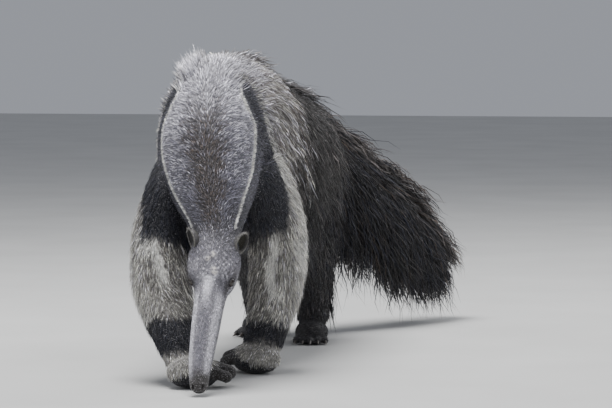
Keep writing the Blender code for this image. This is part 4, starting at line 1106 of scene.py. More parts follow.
# The coat along each form: places, and values there. Length, width and spacing are in metres. Lift is how far
# a tuft leans out. Aside, hang and rear turn its lie outwards, down and to the back of a leg.
COAT = {
    "trunk": {
        "length": (
            [0, 1, 4.5, 5.6, 6.4, 7.0, 7.8, 9.2, 10.2, 11.2, 12.5, 16],
            [0.050, 0.050, 0.040, 0.026, 0.0150, 0.0125, 0.0110, 0.0100, 0.0080, 0.0058, 0.0042, 0.0032],
        ),
        "width": (
            [0, 4.5, 5.6, 6.6, 7.4, 9.4, 10.4, 12, 16],
            [0.0026, 0.0023, 0.0015, 0.0011, 0.0010, 0.0010, 0.0010, 0.0009, 0.0008],
        ),
        "lift": (
            [0, 4.5, 5.6, 6.6, 7.2, 9.0, 10.2, 11.5],
            [0.28, 0.30, 0.42, 0.44, 0.36, 0.30, 0.24, 0.18],
        ),
        "spacing": (
            [0, 5.0, 6.0, 6.8, 9.2, 10.2, 11.2, 12.2, 16],
            [0.0074, 0.0064, 0.0037, 0.0027, 0.0026, 0.0024, 0.0023, 0.0022, 0.0020],
        ),
        "aside": ([0, 5.5, 6.6, 7.2, 9.2, 10.2, 11.5, 12.5], [0.3, 0.35, 0.5, 0.8, 0.7, 0.4, 0.25, 0.12]),
        "hang": ([0, 6, 7.5, 10], [0.7, 0.6, 0.1, 0]),
        "rear": ([0], [0]),
    },
    "tail": {
        "length": ([0], [0.070]),
        "width": ([0], [0.0030]),
        "lift": ([0], [0.50]),
        "spacing": ([0], [0.0085]),
        "aside": ([0], [0]),
        "hang": ([0], [0.75]),
        "rear": ([0], [0]),
    },
    "foreleg": {
        "length": ([0, 1.5, 3.0, 4.0, 5.0], [0.028, 0.024, 0.022, 0.014, 0.010]),
        "width": ([0, 3.0, 4.0], [0.0014, 0.0013, 0.0011]),
        "lift": ([0], [0.32]),
        "spacing": ([0, 1.0, 1.6, 4.0], [0.0050, 0.0040, 0.0033, 0.0031]),
        "aside": ([0], [0]),
        "hang": ([0], [0.35]),
        "rear": ([0], [0.30]),
    },
    "hindleg": {
        "length": ([0, 1.5, 3.0, 4.0], [0.044, 0.036, 0.022, 0.014]),
        "width": ([0, 3.0], [0.0026, 0.0020]),
        "lift": ([0], [0.30]),
        "spacing": ([0, 1.0, 3.0], [0.0076, 0.0069, 0.0054]),
        "aside": ([0], [0]),
        "hang": ([0], [0.35]),
        "rear": ([0], [0.25]),
    },
}
PAW_FUR_TOP = 0.055
PAW_FUR_LENGTH = 0.0085
SOLE_FUR_TOP = 0.02
SOLE_FUR_LENGTH = 0.0050
PAW_FUR_WIDTH = 0.0011
PAW_FUR_SPACING = 0.0033
BELLY_FUR_GROWTH = 1.25


def coat_fields(where, normals):
    """Lie of the hair at each point of the skin, and its length, width, lift and spacing."""
    place, top, height = where.place, where.from_top(), where.points[:, 2]
    on = [where.on(name) for name in COAT]

    def along_form(measure):
        return np.select(on, [np.interp(place, *table[measure]) for table in COAT.values()])

    trunk = where.on("trunk")
    outward = unit(np.cross(normals, where.forward)) * np.where(np.cos(where.angle) > 0, 1, -1)[:, None]
    down = DOWN - normals * dot(normals, DOWN)
    along = np.where(trunk, -1.0, 1.0)
    aside = along_form("aside") * np.where(trunk, smooth(0, 14, top), 1)
    hang = along_form("hang") * np.where(trunk, smooth(20, 70, top), 1)
    lie = where.forward * along[:, None] + outward * aside[:, None] + down * hang[:, None]
    lie = lie - where.up * along_form("rear")[:, None]
    lie = unit(lie - normals * dot(normals, lie))

    low = (where.on("foreleg") | where.on("hindleg")) & (height < PAW_FUR_TOP)
    length = np.where(low, PAW_FUR_LENGTH, along_form("length"))
    length = np.where(low & (height < SOLE_FUR_TOP), SOLE_FUR_LENGTH, length)
    length = np.where(trunk & (top > 100) & (place < 7), length * BELLY_FUR_GROWTH, length)
    width = np.where(low, PAW_FUR_WIDTH, along_form("width"))
    lift = along_form("lift") + np.where(trunk, 0.4 * smooth(30, 5, top) * smooth(6.9, 5.5, place), 0)
    spacing = np.where(low, PAW_FUR_SPACING, along_form("spacing"))
    return lie, np.column_stack([length, width, lift, spacing])


def settle(values, edges, rounds):
    """Evens values out over neighbouring points."""
    count = len(values)
    a, b = edges.T
    near = np.bincount(a, minlength=count) + np.bincount(b, minlength=count)
    for _ in range(rounds):
        total = np.empty_like(values)
        for k in range(values.shape[1]):
            total[:, k] = np.bincount(a, values[b, k], count) + np.bincount(b, values[a, k], count)
        values = 0.4 * values + 0.6 * total / np.maximum(near, 1)[:, None]
    return values


def edges_of(mesh):
    found = np.empty(len(mesh.edges) * 2, dtype=np.int64)
    mesh.edges.foreach_get("vertices", found)
    return found.reshape(-1, 2)


def draw_kinds(mix):
    edges = np.cumsum(mix, axis=1)
    return np.minimum((draw.random((len(mix), 1)) * edges[:, -1:] > edges).sum(axis=1), len(KIND_NAMES) - 1)


def colours_of(mix, points):
    """Root and tip colours of tufts whose kinds are drawn from the mix."""
    chosen = draw_kinds(mix)
    clump = 0.38 * ripple(points, 0.008, 41, 12) + 0.24 * ripple(points, 0.022, 42)
    tint = np.exp(draw.normal(size=len(chosen)) * KIND_SPREADS[chosen] + clump)[:, None]
    # A little of the mean keeps neighbours related.
    return [
        (0.8 * colours[chosen] + 0.2 * (mix @ colours)) * tint for colours in (KIND_ROOTS, KIND_TIPS)
    ]


# Rings of a tuft: share of its length, and share of its width there.
SHORT_STATIONS = [(0.0, 1.0), (0.5, 0.80)]
TUFT_STATIONS = [(0.0, 0.85), (0.35, 1.0), (0.72, 0.62)]
STRAND_STATIONS = [(0.0, 0.70), (0.32, 1.0), (0.70, 0.62)]
CURL_STATIONS = [(0.0, 0.70), (0.20, 1.0), (0.42, 0.95), (0.62, 0.80), (0.82, 0.50)]
CURL_TURN = 8.5  # radians that a curl turns from root to tip
TUFT_CORNERS = ((1.0, -0.25), (-1.0, -0.25), (0.0, 0.55))  # a tuft's section, in half widths


def tuft_faces(rings):
    """Triangles of one closed tuft, from its root to its tip."""
    faces = [(0, 2, 1)]
    for j in range(rings - 1):
        for k in range(3):
            a, b = j * 3 + k, j * 3 + (k + 1) % 3
            faces += [(a, b, b + 3), (a, b + 3, a + 3)]
    last = (rings - 1) * 3
    return faces + [(last + k, last + (k + 1) % 3, rings * 3) for k in range(3)]


def tufts(name, roots, normals, lie, fall, length, width, tints, patch, stations, sunk=0.12, wave=0.0):
    """One mesh of closed, three-sided tufts that taper to a point."""
    count, rings = len(roots), len(stations)
    root_tint, tip_tint = tints
    spin = draw.uniform(-0.6, 0.6, count)[:, None]
    phase = draw.uniform(0, math.tau, (count, 1))
    points = np.empty((count, rings * 3 + 1, 3))
    colours = np.empty((count, rings * 3 + 1, 3))
    ends = [*stations, (1.0, 0.0)]
    for j, (t, share) in enumerate(ends):
        middle = roots - normals * (length * sunk * (1 - t) ** 2)[:, None]
        middle = middle + (lie * t * (1 - t / 2) + fall * t * t / 2) * length[:, None]
        way = unit(lie * (1 - t) + fall * t)
        flat = unit(np.cross(way, normals))
        upright = np.cross(flat, way)
        across = flat * np.cos(spin) + upright * np.sin(spin)
        over = upright * np.cos(spin) - flat * np.sin(spin)
        if wave:
            bend, turned = wave * length[:, None] * t**0.7, phase + CURL_TURN * t
            middle = middle + across * bend * np.sin(turned) + over * bend * np.cos(turned)
        middle[:, 2] = np.maximum(middle[:, 2], FLOOR_CLEAR)
        blend = min(1.0, t * 1.15) ** 0.8
        tint = root_tint * (1 - blend) + tip_tint * blend
        if j == rings:
            points[:, -1], colours[:, -1] = middle, tint
            break
        half = (width * share)[:, None] * 0.5
        for k, (x, y) in enumerate(TUFT_CORNERS):
            points[:, j * 3 + k] = middle + across * half * x + over * half * y
            colours[:, j * 3 + k] = tint
    faces = np.array(tuft_faces(rings))
    corners = (np.arange(count)[:, None, None] * (rings * 3 + 1) + faces).reshape(-1)
    mesh = bpy.data.meshes.new(name)
    mesh.vertices.add(count * (rings * 3 + 1))
    mesh.vertices.foreach_set("co", points.ravel())
    mesh.loops.add(len(corners))
    mesh.polygons.add(len(corners) // 3)
    mesh.polygons.foreach_set("loop_start", np.arange(0, len(corners), 3))
    mesh.loops.foreach_set("vertex_index", corners)
    mesh.update(calc_edges=True)
    mesh.shade_smooth()
    paint(mesh, colours.reshape(-1, 3))
    along = np.repeat(np.array([t for t, _ in ends]), [3] * rings + [1])
    spot = np.array([(k % 3) / 2 for k in range(rings * 3)] + [0.5])
    own = np.column_stack([spot, along]) * BAKE_PATCH
    uv = (patch[:, None, :] + own[None]).reshape(-1, 2)[corners]
    layer = mesh.uv_layers.new(name="OFBake")
    layer.data.foreach_set("uv", np.clip(uv, 0, 1).ravel())
    made = bpy.data.objects.new(name, mesh)
    bpy.context.scene.collection.objects.link(made)
    return made


def tuft_pieces(name, columns, tints, patch, stations, **bends):
    """Tufts in as few meshes as PIECE_TRIANGLES allows."""
    count = len(patch) * len(tuft_faces(len(stations)))
    parts = max(1, math.ceil(count / PIECE_TRIANGLES))
    made = []
    for k in range(parts):
        label = name if parts == 1 else f"{name}_{k + 1}"
        chosen = [column[k::parts] for column in columns]
        own_tints = [tint[k::parts] for tint in tints]
        made.append(tufts(label, *chosen, own_tints, patch[k::parts], stations, **bends))
    return made


def patch_at(where):
    """Places on an unwrap of the form: round it, and along it."""
    u = (where.angle / math.tau) % 1.0
    last = np.array([len(FORMS[name].centre) / STEPS for name in FORM_NAMES])[where.part]
    v = np.clip(where.place / last, 0, 1)
    # On a leg the height takes over from the place, because the paw lies past the wrist.
    leg = where.on("foreleg") | where.on("hindleg")
    v = np.where(leg, 0.8 * v + 0.19 * smooth(0.08, 0.0, where.points[:, 2]), v)
    return np.column_stack([u, v]) * (1 - 2 * BAKE_PATCH) + BAKE_PATCH / 2


class Scatter:
    """Roots spread evenly over triangles, with as many on each as is asked."""

    def __init__(self, corners, wanted, path):
        """Path is the order in which the triangles are filled."""
        self.count = int(wanted.sum())
        ends = np.cumsum(wanted[path])
        picks = (np.arange(self.count) + draw.random(self.count)) * ends[-1] / self.count
        self.corners = corners[path[np.minimum(np.searchsorted(ends, picks), len(ends) - 1)]]
        u, v = draw.random(self.count), draw.random(self.count)
        flip = u + v > 1
        self.u, self.v = np.where(flip, 1 - u, u)[:, None], np.where(flip, 1 - v, v)[:, None]

    def take(self, rows):
        """What the rows of points give at each root."""
        a, b, c = (rows[self.corners[:, k]] for k in range(3))
        return a * (1 - self.u - self.v) + b * self.u + c * self.v


def areas_of(points, corners):
    a, b, c = (points[corners[:, k]] for k in range(3))
    return 0.5 * np.linalg.norm(np.cross(b - a, c - a), axis=1)


def tufts_wanted(middle, spacing):
    """Tufts to a square metre: none on bare skin, and more along the white edge of the neck."""
    keep = np.ones(len(middle))
    for side in SIDES:
        keep *= distance(middle, np.array(eye_seat(side).translation)) > EYE_BARE
    keep *= distance(middle, np.array(tip_seat(0.1).translation)) > NOSE_BARE
    keep *= middle[:, 2] > SOLE_BARE
    keep *= 1 - 0.9 * worn_at(middle)
    keep *= gap_to_digits(middle) > DIGIT_BARE
    keep *= 1 + 1.8 * bell(gap_to_neck_line(middle), 0, 0.0045)
    return keep / spacing**2


def short_beside_edges(where, mix, length, width):
    """Hair beside the white edge of the neck and ahead of the pale band is short, so that both show."""
    edge_gap = gap_to_neck_line(where.points)
    edge_gap = np.where(where.on("trunk") & (where.place > 6.5), edge_gap, np.inf)
    on_edge = edge_gap < 0.0030
    length = np.where(edge_gap < 0.022, np.minimum(length, np.maximum(0.0045, 0.75 * edge_gap)), length)
    length = np.where(on_edge, 0.0080, length)
    width = np.where(on_edge, 0.0011, width)
    band_gap = np.minimum(*(gap_to_band(where.points, side) for side in SIDES))
    ahead = (mix[:, KIND_NAMES.index("black")] > 0.5) & (band_gap < 0.045)
    length = np.where(ahead, np.minimum(length, 0.006 + 0.45 * band_gap), length)
    return length, width, on_edge


def grow_coat(skin, lie, fields, normals):
    """The tufts of the whole skin, in pieces by the part of the body."""
    points, corners = points_of(skin.data), corners_of(skin.data)
    middle = sum(points[corners[:, k]] for k in range(3)) / 3
    wanted = areas_of(points, corners) * tufts_wanted(middle, fields[corners, 3].mean(axis=1))
    # A path that winds through space keeps neighbouring triangles together.
    found = Scatter(corners, wanted, np.lexsort(np.floor(middle / 0.02).T))
    roots, root_normals = found.take(points), unit(found.take(normals))
    root_lie = found.take(lie)
    root_lie = unit(root_lie - root_normals * dot(root_normals, root_lie))
    length, width, lift, _ = found.take(fields).T
    where = Whereabouts(roots)
    mix = coat_mix(where, 0.0022)
    tints = colours_of(mix, roots)
    count = found.count
    length = length * np.exp(draw.normal(size=count) * 0.22) * (1 + 0.18 * ripple(roots, 0.05, 21))
    width = width * np.exp(draw.normal(size=count) * 0.20)
    length, width, on_edge = short_beside_edges(where, mix, length, width)
    turn = 0.30 * ripple(roots, 0.06, 11) + 0.22 * ripple(roots, 0.02, 12) + draw.normal(size=count) * 0.16
    across = np.cross(root_normals, root_lie)
    way = root_lie * np.cos(turn)[:, None] + across * np.sin(turn)[:, None]
    lift = lift * np.exp(draw.normal(size=count) * 0.30) + 0.25 * on_edge
    start = unit(way + root_normals * lift[:, None])
    weight = DOWN * (8.0 * np.minimum(length, 0.08))[:, None]
    end = unit(way + root_normals * (lift * 0.25 - 0.10)[:, None] + weight)
    groups = {
        "coat_face": where.on("trunk") & (where.place > 10.4),
        "coat_neck": where.on("trunk") & (where.place > 6.5) & (where.place <= 10.4),
        "coat_back_front": where.on("trunk") & (where.place > 3.9) & (where.place <= 6.5),
        "coat_back_rear": where.on("trunk") & (where.place <= 3.9),
        "coat_tail": where.on("tail"),
    }
    for name in FORM_NAMES[2:]:
        groups[f"coat_{name}"] = where.on(name)
    patch = patch_at(where)
    made = []
    for name, pick in groups.items():
        short = name in ("coat_face", "coat_neck") or name.startswith("coat_foreleg")
        columns = [column[pick] for column in (roots, root_normals, start, end, length, width)]
        own_tints = [tint[pick] for tint in tints]
        stations = SHORT_STATIONS if short else TUFT_STATIONS
        made += tuft_pieces(name, columns, own_tints, patch[pick], stations)
    return made


# Long hair: rows of strands along a form, between two places and two angles from its top. Lie is where a
# strand leaves its root and fall where it ends up, each given along the form, out, aside and down.
Hair = namedtuple("Hair", "form places tops count length width lie fall side", defaults=("both",))
LONG_HAIR = {
    "mane": [
        Hair("trunk", (0.1, 3.4), (0, 26), 1300, 0.105, 0.0024, (-1, 0.46, 0.15, 0), (-1, 0, 0.20, 0.15)),
        Hair("trunk", (3.0, 5.3), (0, 20), 1300, 0.062, 0.0020, (-1, 0.50, 0.20, 0), (-1, 0.10, 0.15, 0.05)),
        Hair("trunk", (5.2, 6.7), (0, 30), 900, 0.016, 0.0009, (-0.8, 0.80, 0.30, 0), (-1, 0.45, 0.30, 0)),
        Hair("trunk", (5.0, 6.7), (28, 62), 700, 0.024, 0.0010, (-0.9, 0.70, 0.30, 0), (-1, 0.30, 0.30, 0)),
        Hair(
            "trunk", (5.4, 6.5), (15, 33), 700, 0.027, 0.0009,
            (-0.3, 1.00, 0.10, 0), (-0.7, 0.70, 0.10, 0), "right",
        ),
    ],
    "flank_hair": [
        Hair(
            "trunk", (0.1, 4.6), (26, 110), 3000, 0.068, 0.0025,
            (-0.9, 0.24, 0.25, 0.45), (-0.6, 0, 0.1, 0.9),
        ),
        Hair(
            "trunk", (0.6, 4.0), (55, 118), 1500, 0.088, 0.0022,
            (-0.9, 0.44, 0.2, 0.45), (-0.7, 0.05, 0.1, 0.9),
        ),
        Hair("trunk", (2.2, 5.8), (112, 150), 1500, 0.120, 0.0028, (-0.6, 0.10, 0, 0.7), (-0.4, -0.10, 0, 1)),
    ],
    "tail_hair": [
        Hair("tail", (0.0, 3.4), (0, 45), 1900, 0.135, 0.0026, (1, 0.36, 0.10, 0), (0.95, 0, 0.20, 0.60)),
        Hair("tail", (3.2, 5.9), (0, 45), 2200, 0.150, 0.0027, (1, 0.60, 0.10, 0), (0.95, 0.10, 0.20, 0.55)),
        Hair("tail", (0.2, 5.9), (45, 115), 4100, 0.150, 0.0028, (0.8, 0.3, 0.1, 0.45), (0.6, 0, 0.1, 0.8)),
        Hair("tail", (0.6, 5.9), (115, 180), 2600, 0.140, 0.0027, (0.7, 0.28, 0, 0.6), (0.50, 0, 0, 0.9)),
    ],
    "leg_hair": [
        *(
            Hair(
                f"foreleg_{side}", (1.8, 4.2), (145, 180), 500, 0.050, 0.0019,
                (1, 0.30, 0, 0.2), (1, 0.10, 0, 0.3),
            )
            for side in SIDES
        ),
        Hair(
            "foreleg_right", (1.7, 3.2), (55, 115), 500, 0.034, 0.0014,
            (0.9, 0.50, 0, 0.1), (1, 0.15, 0, 0.2), "left",
        ),
        *(
            Hair(
                f"hindleg_{side}", (0.8, 3.3), (120, 180), 800, 0.080, 0.0024,
                (1, 0.32, 0, 0.2), (1, 0.05, 0, 0.4),
            )
            for side in SIDES
        ),
    ],
}
CURLS = {"mane": 0.030, "flank_hair": 0.035, "tail_hair": 0.058, "leg_hair": 0.025}
LEFT_SHARE = {"both": 0.5, "left": 1.0, "right": 0.0}
HAIR_BEYOND = np.array((0.011, 0.022, 0.014))  # how far hair may stand past the solids


def within_reach(roots, lie, fall, length):
    """Lengths cut so that tips stay above the floor and near the solids' reach."""
    low, high = (np.array(corner) for corner in solid_bounds)
    low, high = low - HAIR_BEYOND, high + HAIR_BEYOND
    low[2] = FLOOR_CLEAR
    way = (lie + fall) / 2
    level = np.abs(way) < 1e-3
    room = np.where(way > 0, high - roots, low - roots) / np.where(level, np.inf, way)
    room = np.where(level, np.inf, room).min(axis=1)
    return np.minimum(length, np.maximum(room, 0.004))


def strands_of(row):
    """Where a row's strands stand, with their lie, fall, length and width."""
    form = FORMS[row.form]
    place = draw.uniform(*row.places, row.count)
    top = draw.uniform(*row.tops, row.count)
    left = draw.random(row.count) < LEFT_SHARE[row.side]
    angle = np.radians(np.where(left, 90 - top, 90 + top))
    depth = coat_depth(row.form)(place) * np.ones(row.count)
    roots = form.point(place, angle, depth)
    ahead = form.point(place + NEARBY, angle, depth) - roots
    around = form.point(place, angle + NEARBY, depth) - roots
    normal = unit(np.cross(ahead, around))
    normal = normal * np.sign(dot(normal, roots - form.between(form.centre, place)))
    forward = unit(ahead)
    outward = unit(np.cross(normal, forward)) * np.where(left, 1, -1)[:, None]
    outward = outward if row.form != "tail" else -outward

    def way(weights):
        along, out, aside, down = weights
        return unit(forward * along + normal * out + outward * aside + DOWN * down)

    turn = 0.22 * ripple(roots, 0.09, 31) + draw.normal(size=row.count) * 0.13
    length = row.length * np.exp(draw.normal(size=row.count) * 0.20)
    if row.form == "tail":
        turn = 1.4 * turn + 0.22 * ripple(roots, 0.14, 32)
        length = length * np.interp(place, [0.0, 1.5, 3.5, 5.9], [0.75, 1.0, 1.0, 0.72])
    sideways = np.cross(normal, forward)
    lie = unit(way(row.lie) + sideways * turn[:, None])
    stray = draw.normal(size=(row.count, 3)) * 0.09
    fall = unit(way(row.fall) + sideways * (0.6 * turn)[:, None] + stray)
    length = within_reach(roots, lie, fall, length)
    width = row.width * np.exp(draw.normal(size=row.count) * 0.2)
    where = Whereabouts(roots)
    where.part[:] = FORM_NAMES.index(row.form)
    where.place, where.angle = place, angle
    return where, (roots, normal, lie, fall, length, width)


def grow_long_hair(name, rows):
    """Strands in one or more meshes, rooted in the coat's depth under the form's surface."""
    places, strands = zip(*(strands_of(row) for row in rows))
    columns = [np.concatenate(column) for column in zip(*strands)]
    mix = np.concatenate([coat_mix(where, 0.004) for where in places])
    patch = np.concatenate([patch_at(where) for where in places])
    tints = colours_of(mix, columns[0])
    stations = CURL_STATIONS if name == "tail_hair" else STRAND_STATIONS
    return tuft_pieces(name, columns, tints, patch, stations, sunk=0.03, wave=CURLS[name])


# Ears, eyes and claws.
Ear = namedtuple("Ear", "shell turn local cup rim")
EAR_OUTSIDE = np.array((0.110, 0.105, 0.105))
EAR_RIM = np.array((0.240, 0.230, 0.205))
EAR_CUP = np.array((0.030, 0.028, 0.020))
EAR_FUR_GREY = np.array((0.120, 0.114, 0.114))
EAR_FUR_PALE = np.array((0.300, 0.288, 0.262))
EAR_FUR_DARK = np.array((0.035, 0.032, 0.026))
EAR_FUR_SPACING = 0.0016
EAR_FUR_WIDTH = 0.0009


def ear_turn(side):
    """Which way the ear opens and points, and its middle."""
    across, up, forward = (
        Vector(TRUNK.between(rows, EAR_PLACE)) for rows in (TRUNK.side, TRUNK.up, TRUNK.forward)
    )
    axes = (across if side == "left" else -across, up, forward)
    length = sum((axis * EAR_POINTS[k] for k, axis in enumerate(axes)), Vector()).normalized()
    opening = sum((axis * EAR_OPENS[k] for k, axis in enumerate(axes)), Vector()).normalized()
    foot = head_seat(EAR_PLACE, EAR_ANGLES[side]).translation
    return seat(Vector((0, 0, 0)), length, opening), foot + length * EAR_LENGTH * (0.5 - EAR_FOOT)


def make_ear(side):
    """A cupped ear: a shell with a soft, slightly rolled rim, its foot sunk in the head."""
    turn, at = ear_turn(side)
    bm = bmesh.new()
    bmesh.ops.create_uvsphere(bm, u_segments=48, v_segments=32, radius=1.0)
    geom = [*bm.verts, *bm.edges, *bm.faces]
    bmesh.ops.bisect_plane(bm, geom=geom, plane_co=(0.22, 0, 0), plane_no=(1, 0, 0), clear_outer=True)
    bmesh.ops.recalc_face_normals(bm, faces=bm.faces)
    for vert in bm.verts:
        x, y, z = vert.co
        roll = max(0.0, x) * 0.35
        vert.co = Vector((x, y * (1 - roll * 0.5) * (1 - 0.14 * z), z * (1 - roll * 0.2)))
    bm.transform(Matrix.Diagonal((EAR_DEPTH, EAR_WIDTH / 2, EAR_LENGTH / 2, 1)))
    bmesh.ops.solidify(bm, geom=bm.faces, thickness=EAR_WALL)
    bm.transform(Matrix.Translation(at) @ turn)
    shell = object_of(bm, f"ear_shell_{side}")
    relax(shell, 3)
    local = local_to(points_of(shell.data), Matrix.Translation(at) @ turn)
    depth = local[:, 0] / EAR_DEPTH
    radial = np.hypot(local[:, 1] / (EAR_WIDTH / 2), local[:, 2] / (EAR_LENGTH / 2))
    facing = normals_of(shell.data) @ np.array(turn.to_3x3().col[0])
    cup = smooth(-0.1, 0.5, facing) * smooth(0.98, 0.80, radial)
    rim = smooth(0.02, 0.22, depth) * smooth(0.80, 0.95, radial)
    colour = EAR_OUTSIDE + (EAR_RIM - EAR_OUTSIDE) * rim[:, None]
    paint(shell.data, colour + (EAR_CUP - colour) * cup[:, None])
    shell.data.shade_smooth()
    return Ear(shell, turn, local, cup, rim)


def ear_fur(side, ear):
    """Short hair on the ear's back and rim, and a few hairs in the cup."""
    mesh = ear.shell.data
    points, corners = points_of(mesh), corners_of(mesh)
    wanted = areas_of(points, corners) * (1 - 0.85 * ear.cup[corners].mean(axis=1)) / EAR_FUR_SPACING**2
    found = Scatter(corners, wanted, np.arange(len(corners)))
    count = found.count
    roots, normal = found.take(points), unit(found.take(normals_of(mesh)))
    length_way = np.array(ear.turn.to_3x3().col[2])
    lie = length_way - normal * dot(normal, length_way)
    lie = unit(lie + draw.normal(size=(count, 3)) * 0.18)
    start, end = unit(lie + normal * 0.45), unit(lie + normal * 0.10)
    rim, cup = found.take(ear.rim[:, None]), found.take(ear.cup[:, None])
    length = (0.0038 + 0.0022 * rim[:, 0]) * np.exp(draw.normal(size=count) * 0.2)
    tip = EAR_FUR_GREY + (EAR_FUR_PALE - EAR_FUR_GREY) * rim
    tip = tip + (EAR_FUR_DARK - tip) * cup
    tip = tip * np.exp(draw.normal(size=(count, 1)) * 0.22)
    # Places on an unwrap of the ear: round it, and from foot to tip.
    round_ear = (np.arctan2(ear.local[:, 1], ear.local[:, 0]) / math.tau) % 1
    height = np.clip(ear.local[:, 2] / EAR_LENGTH + 0.5, 0, 1)
    patch = np.column_stack([round_ear, height])[found.corners[:, 0]] * (1 - 2 * BAKE_PATCH)
    widths = np.full(count, EAR_FUR_WIDTH)
    tints = [tip * 0.55, tip]
    return tufts(
        f"ear_fur_{side}", roots, normal, start, end, length, widths, tints, patch, SHORT_STATIONS,
    )


def make_eye(side):
    """A glossy dark eyeball with a clearer bulge over the iris."""
    frame_of = eye_seat(side)
    bm = bmesh.new()
    bmesh.ops.create_uvsphere(bm, u_segments=40, v_segments=28, radius=1.0)
    for vert in bm.verts:
        bulge = max(0.0, vert.co.z - 0.80) / 0.20
        vert.co *= 1 + 0.045 * bulge * (2 - bulge)
    bm.transform(Matrix.Diagonal((EYE_RADIUS, EYE_RADIUS, EYE_RADIUS, 1)))
    bm.transform(frame_of @ Matrix.Translation((0, 0, -EYE_SUNK * EYE_RADIUS)))
    eye = object_of(bm, f"eyeball_{side}")
    local = local_to(points_of(eye.data), frame_of)
    gaze = unit(local + np.array((0, 0, EYE_SUNK * EYE_RADIUS)))[:, 2]
    remember(eye.data, "gaze", gaze)
    eye.data.shade_smooth()
    return eye


def claw_list():
    """Name, root of the finger, where the claw starts, its tip and its girth, for every claw."""
    found = []
    for side in SIDES:
        frame_of = paw_frame(side)
        for finger in FINGERS:
            root, knuckle, tip = (
                frame_of @ Vector(at) for at in (finger.root, finger.knuckle, finger.claw_tip)
            )
            start = knuckle - (knuckle - root).normalized() * finger.girth * 0.2
            found.append((f"foreclaw_{finger.name}_{side}", root, start, tip, finger.girth * FORECLAW_SHARE))
        frame_of = foot_frame(side)
        for k in range(TOES):
            root, start = toe_points(frame_of, k)
            tip = start + frame_of.to_3x3() @ Vector((0.10 * (k - 2), 1, 0)) * HINDCLAW_LENGTH
            tip.z = HINDCLAW_TIP_HEIGHT
            start = start - (start - root).normalized() * TOE_GIRTH * 0.3
            found.append((f"hindclaw_{TOE_NAMES[k]}_{side}", root, start, tip, TOE_GIRTH * HINDCLAW_SHARE))
    return found


def make_claw(name, root, start, tip, girth):
    """A curved claw with a round back, a narrower grooved underside and fine growth rings."""
    rings, sides = 22, 20
    bend = start + (start - root).normalized() * (tip - start).length * CLAW_BEND
    points = [
        start * (1 - t) ** 2 + bend * 2 * t * (1 - t) + tip * t**2 for t in np.arange(rings + 1) / rings
    ]
    rows, shares = [], []
    for k, at in enumerate(points):
        t = k / rings
        forward = (points[min(k + 1, rings)] - points[max(k - 1, 0)]).normalized()
        side = (Vector((0, 0, 1)) - forward * forward.z).normalized()
        up = forward.cross(side)
        size = girth * (1 - 0.94 * t**1.4) * (1 + 0.012 * math.sin(t * 60))
        ring = []
        for j in range(sides):
            turn = math.tau * j / sides
            across, over = math.cos(turn) * size, math.sin(turn) * size * 0.72
            groove = 1 - 0.22 * math.exp(-(((turn - 1.5 * math.pi) / 0.35) ** 2))
            point = at + side * across + up * over * groove
            point.z = max(point.z, CLAW_HEIGHT)
            ring.append(point)
        rows.append(ring)
        shares += [t] * sides
    bm = bmesh.new()
    tube(bm, rows)
    claw = object_of(bm, f"{name}_horn")
    remember(claw.data, "along", shares)
    claw.data.shade_smooth()
    return claw


# Materials.
class Value:
    """A number's socket, on which arithmetic adds Math nodes."""

    def __init__(self, look, socket):
        self.look, self.socket = look, socket

    def _with(self, operation, *others):
        return self.look.number("ShaderNodeMath", {"operation": operation}, *others)

    def __add__(self, other):
        return self._with("ADD", self, other)

    def __radd__(self, other):
        return self._with("ADD", other, self)

    def __sub__(self, other):
        return self._with("SUBTRACT", self, other)

    def __rsub__(self, other):
        return self._with("SUBTRACT", other, self)

    def __mul__(self, other):
        return self._with("MULTIPLY", self, other)

    def __rmul__(self, other):
        return self._with("MULTIPLY", other, self)


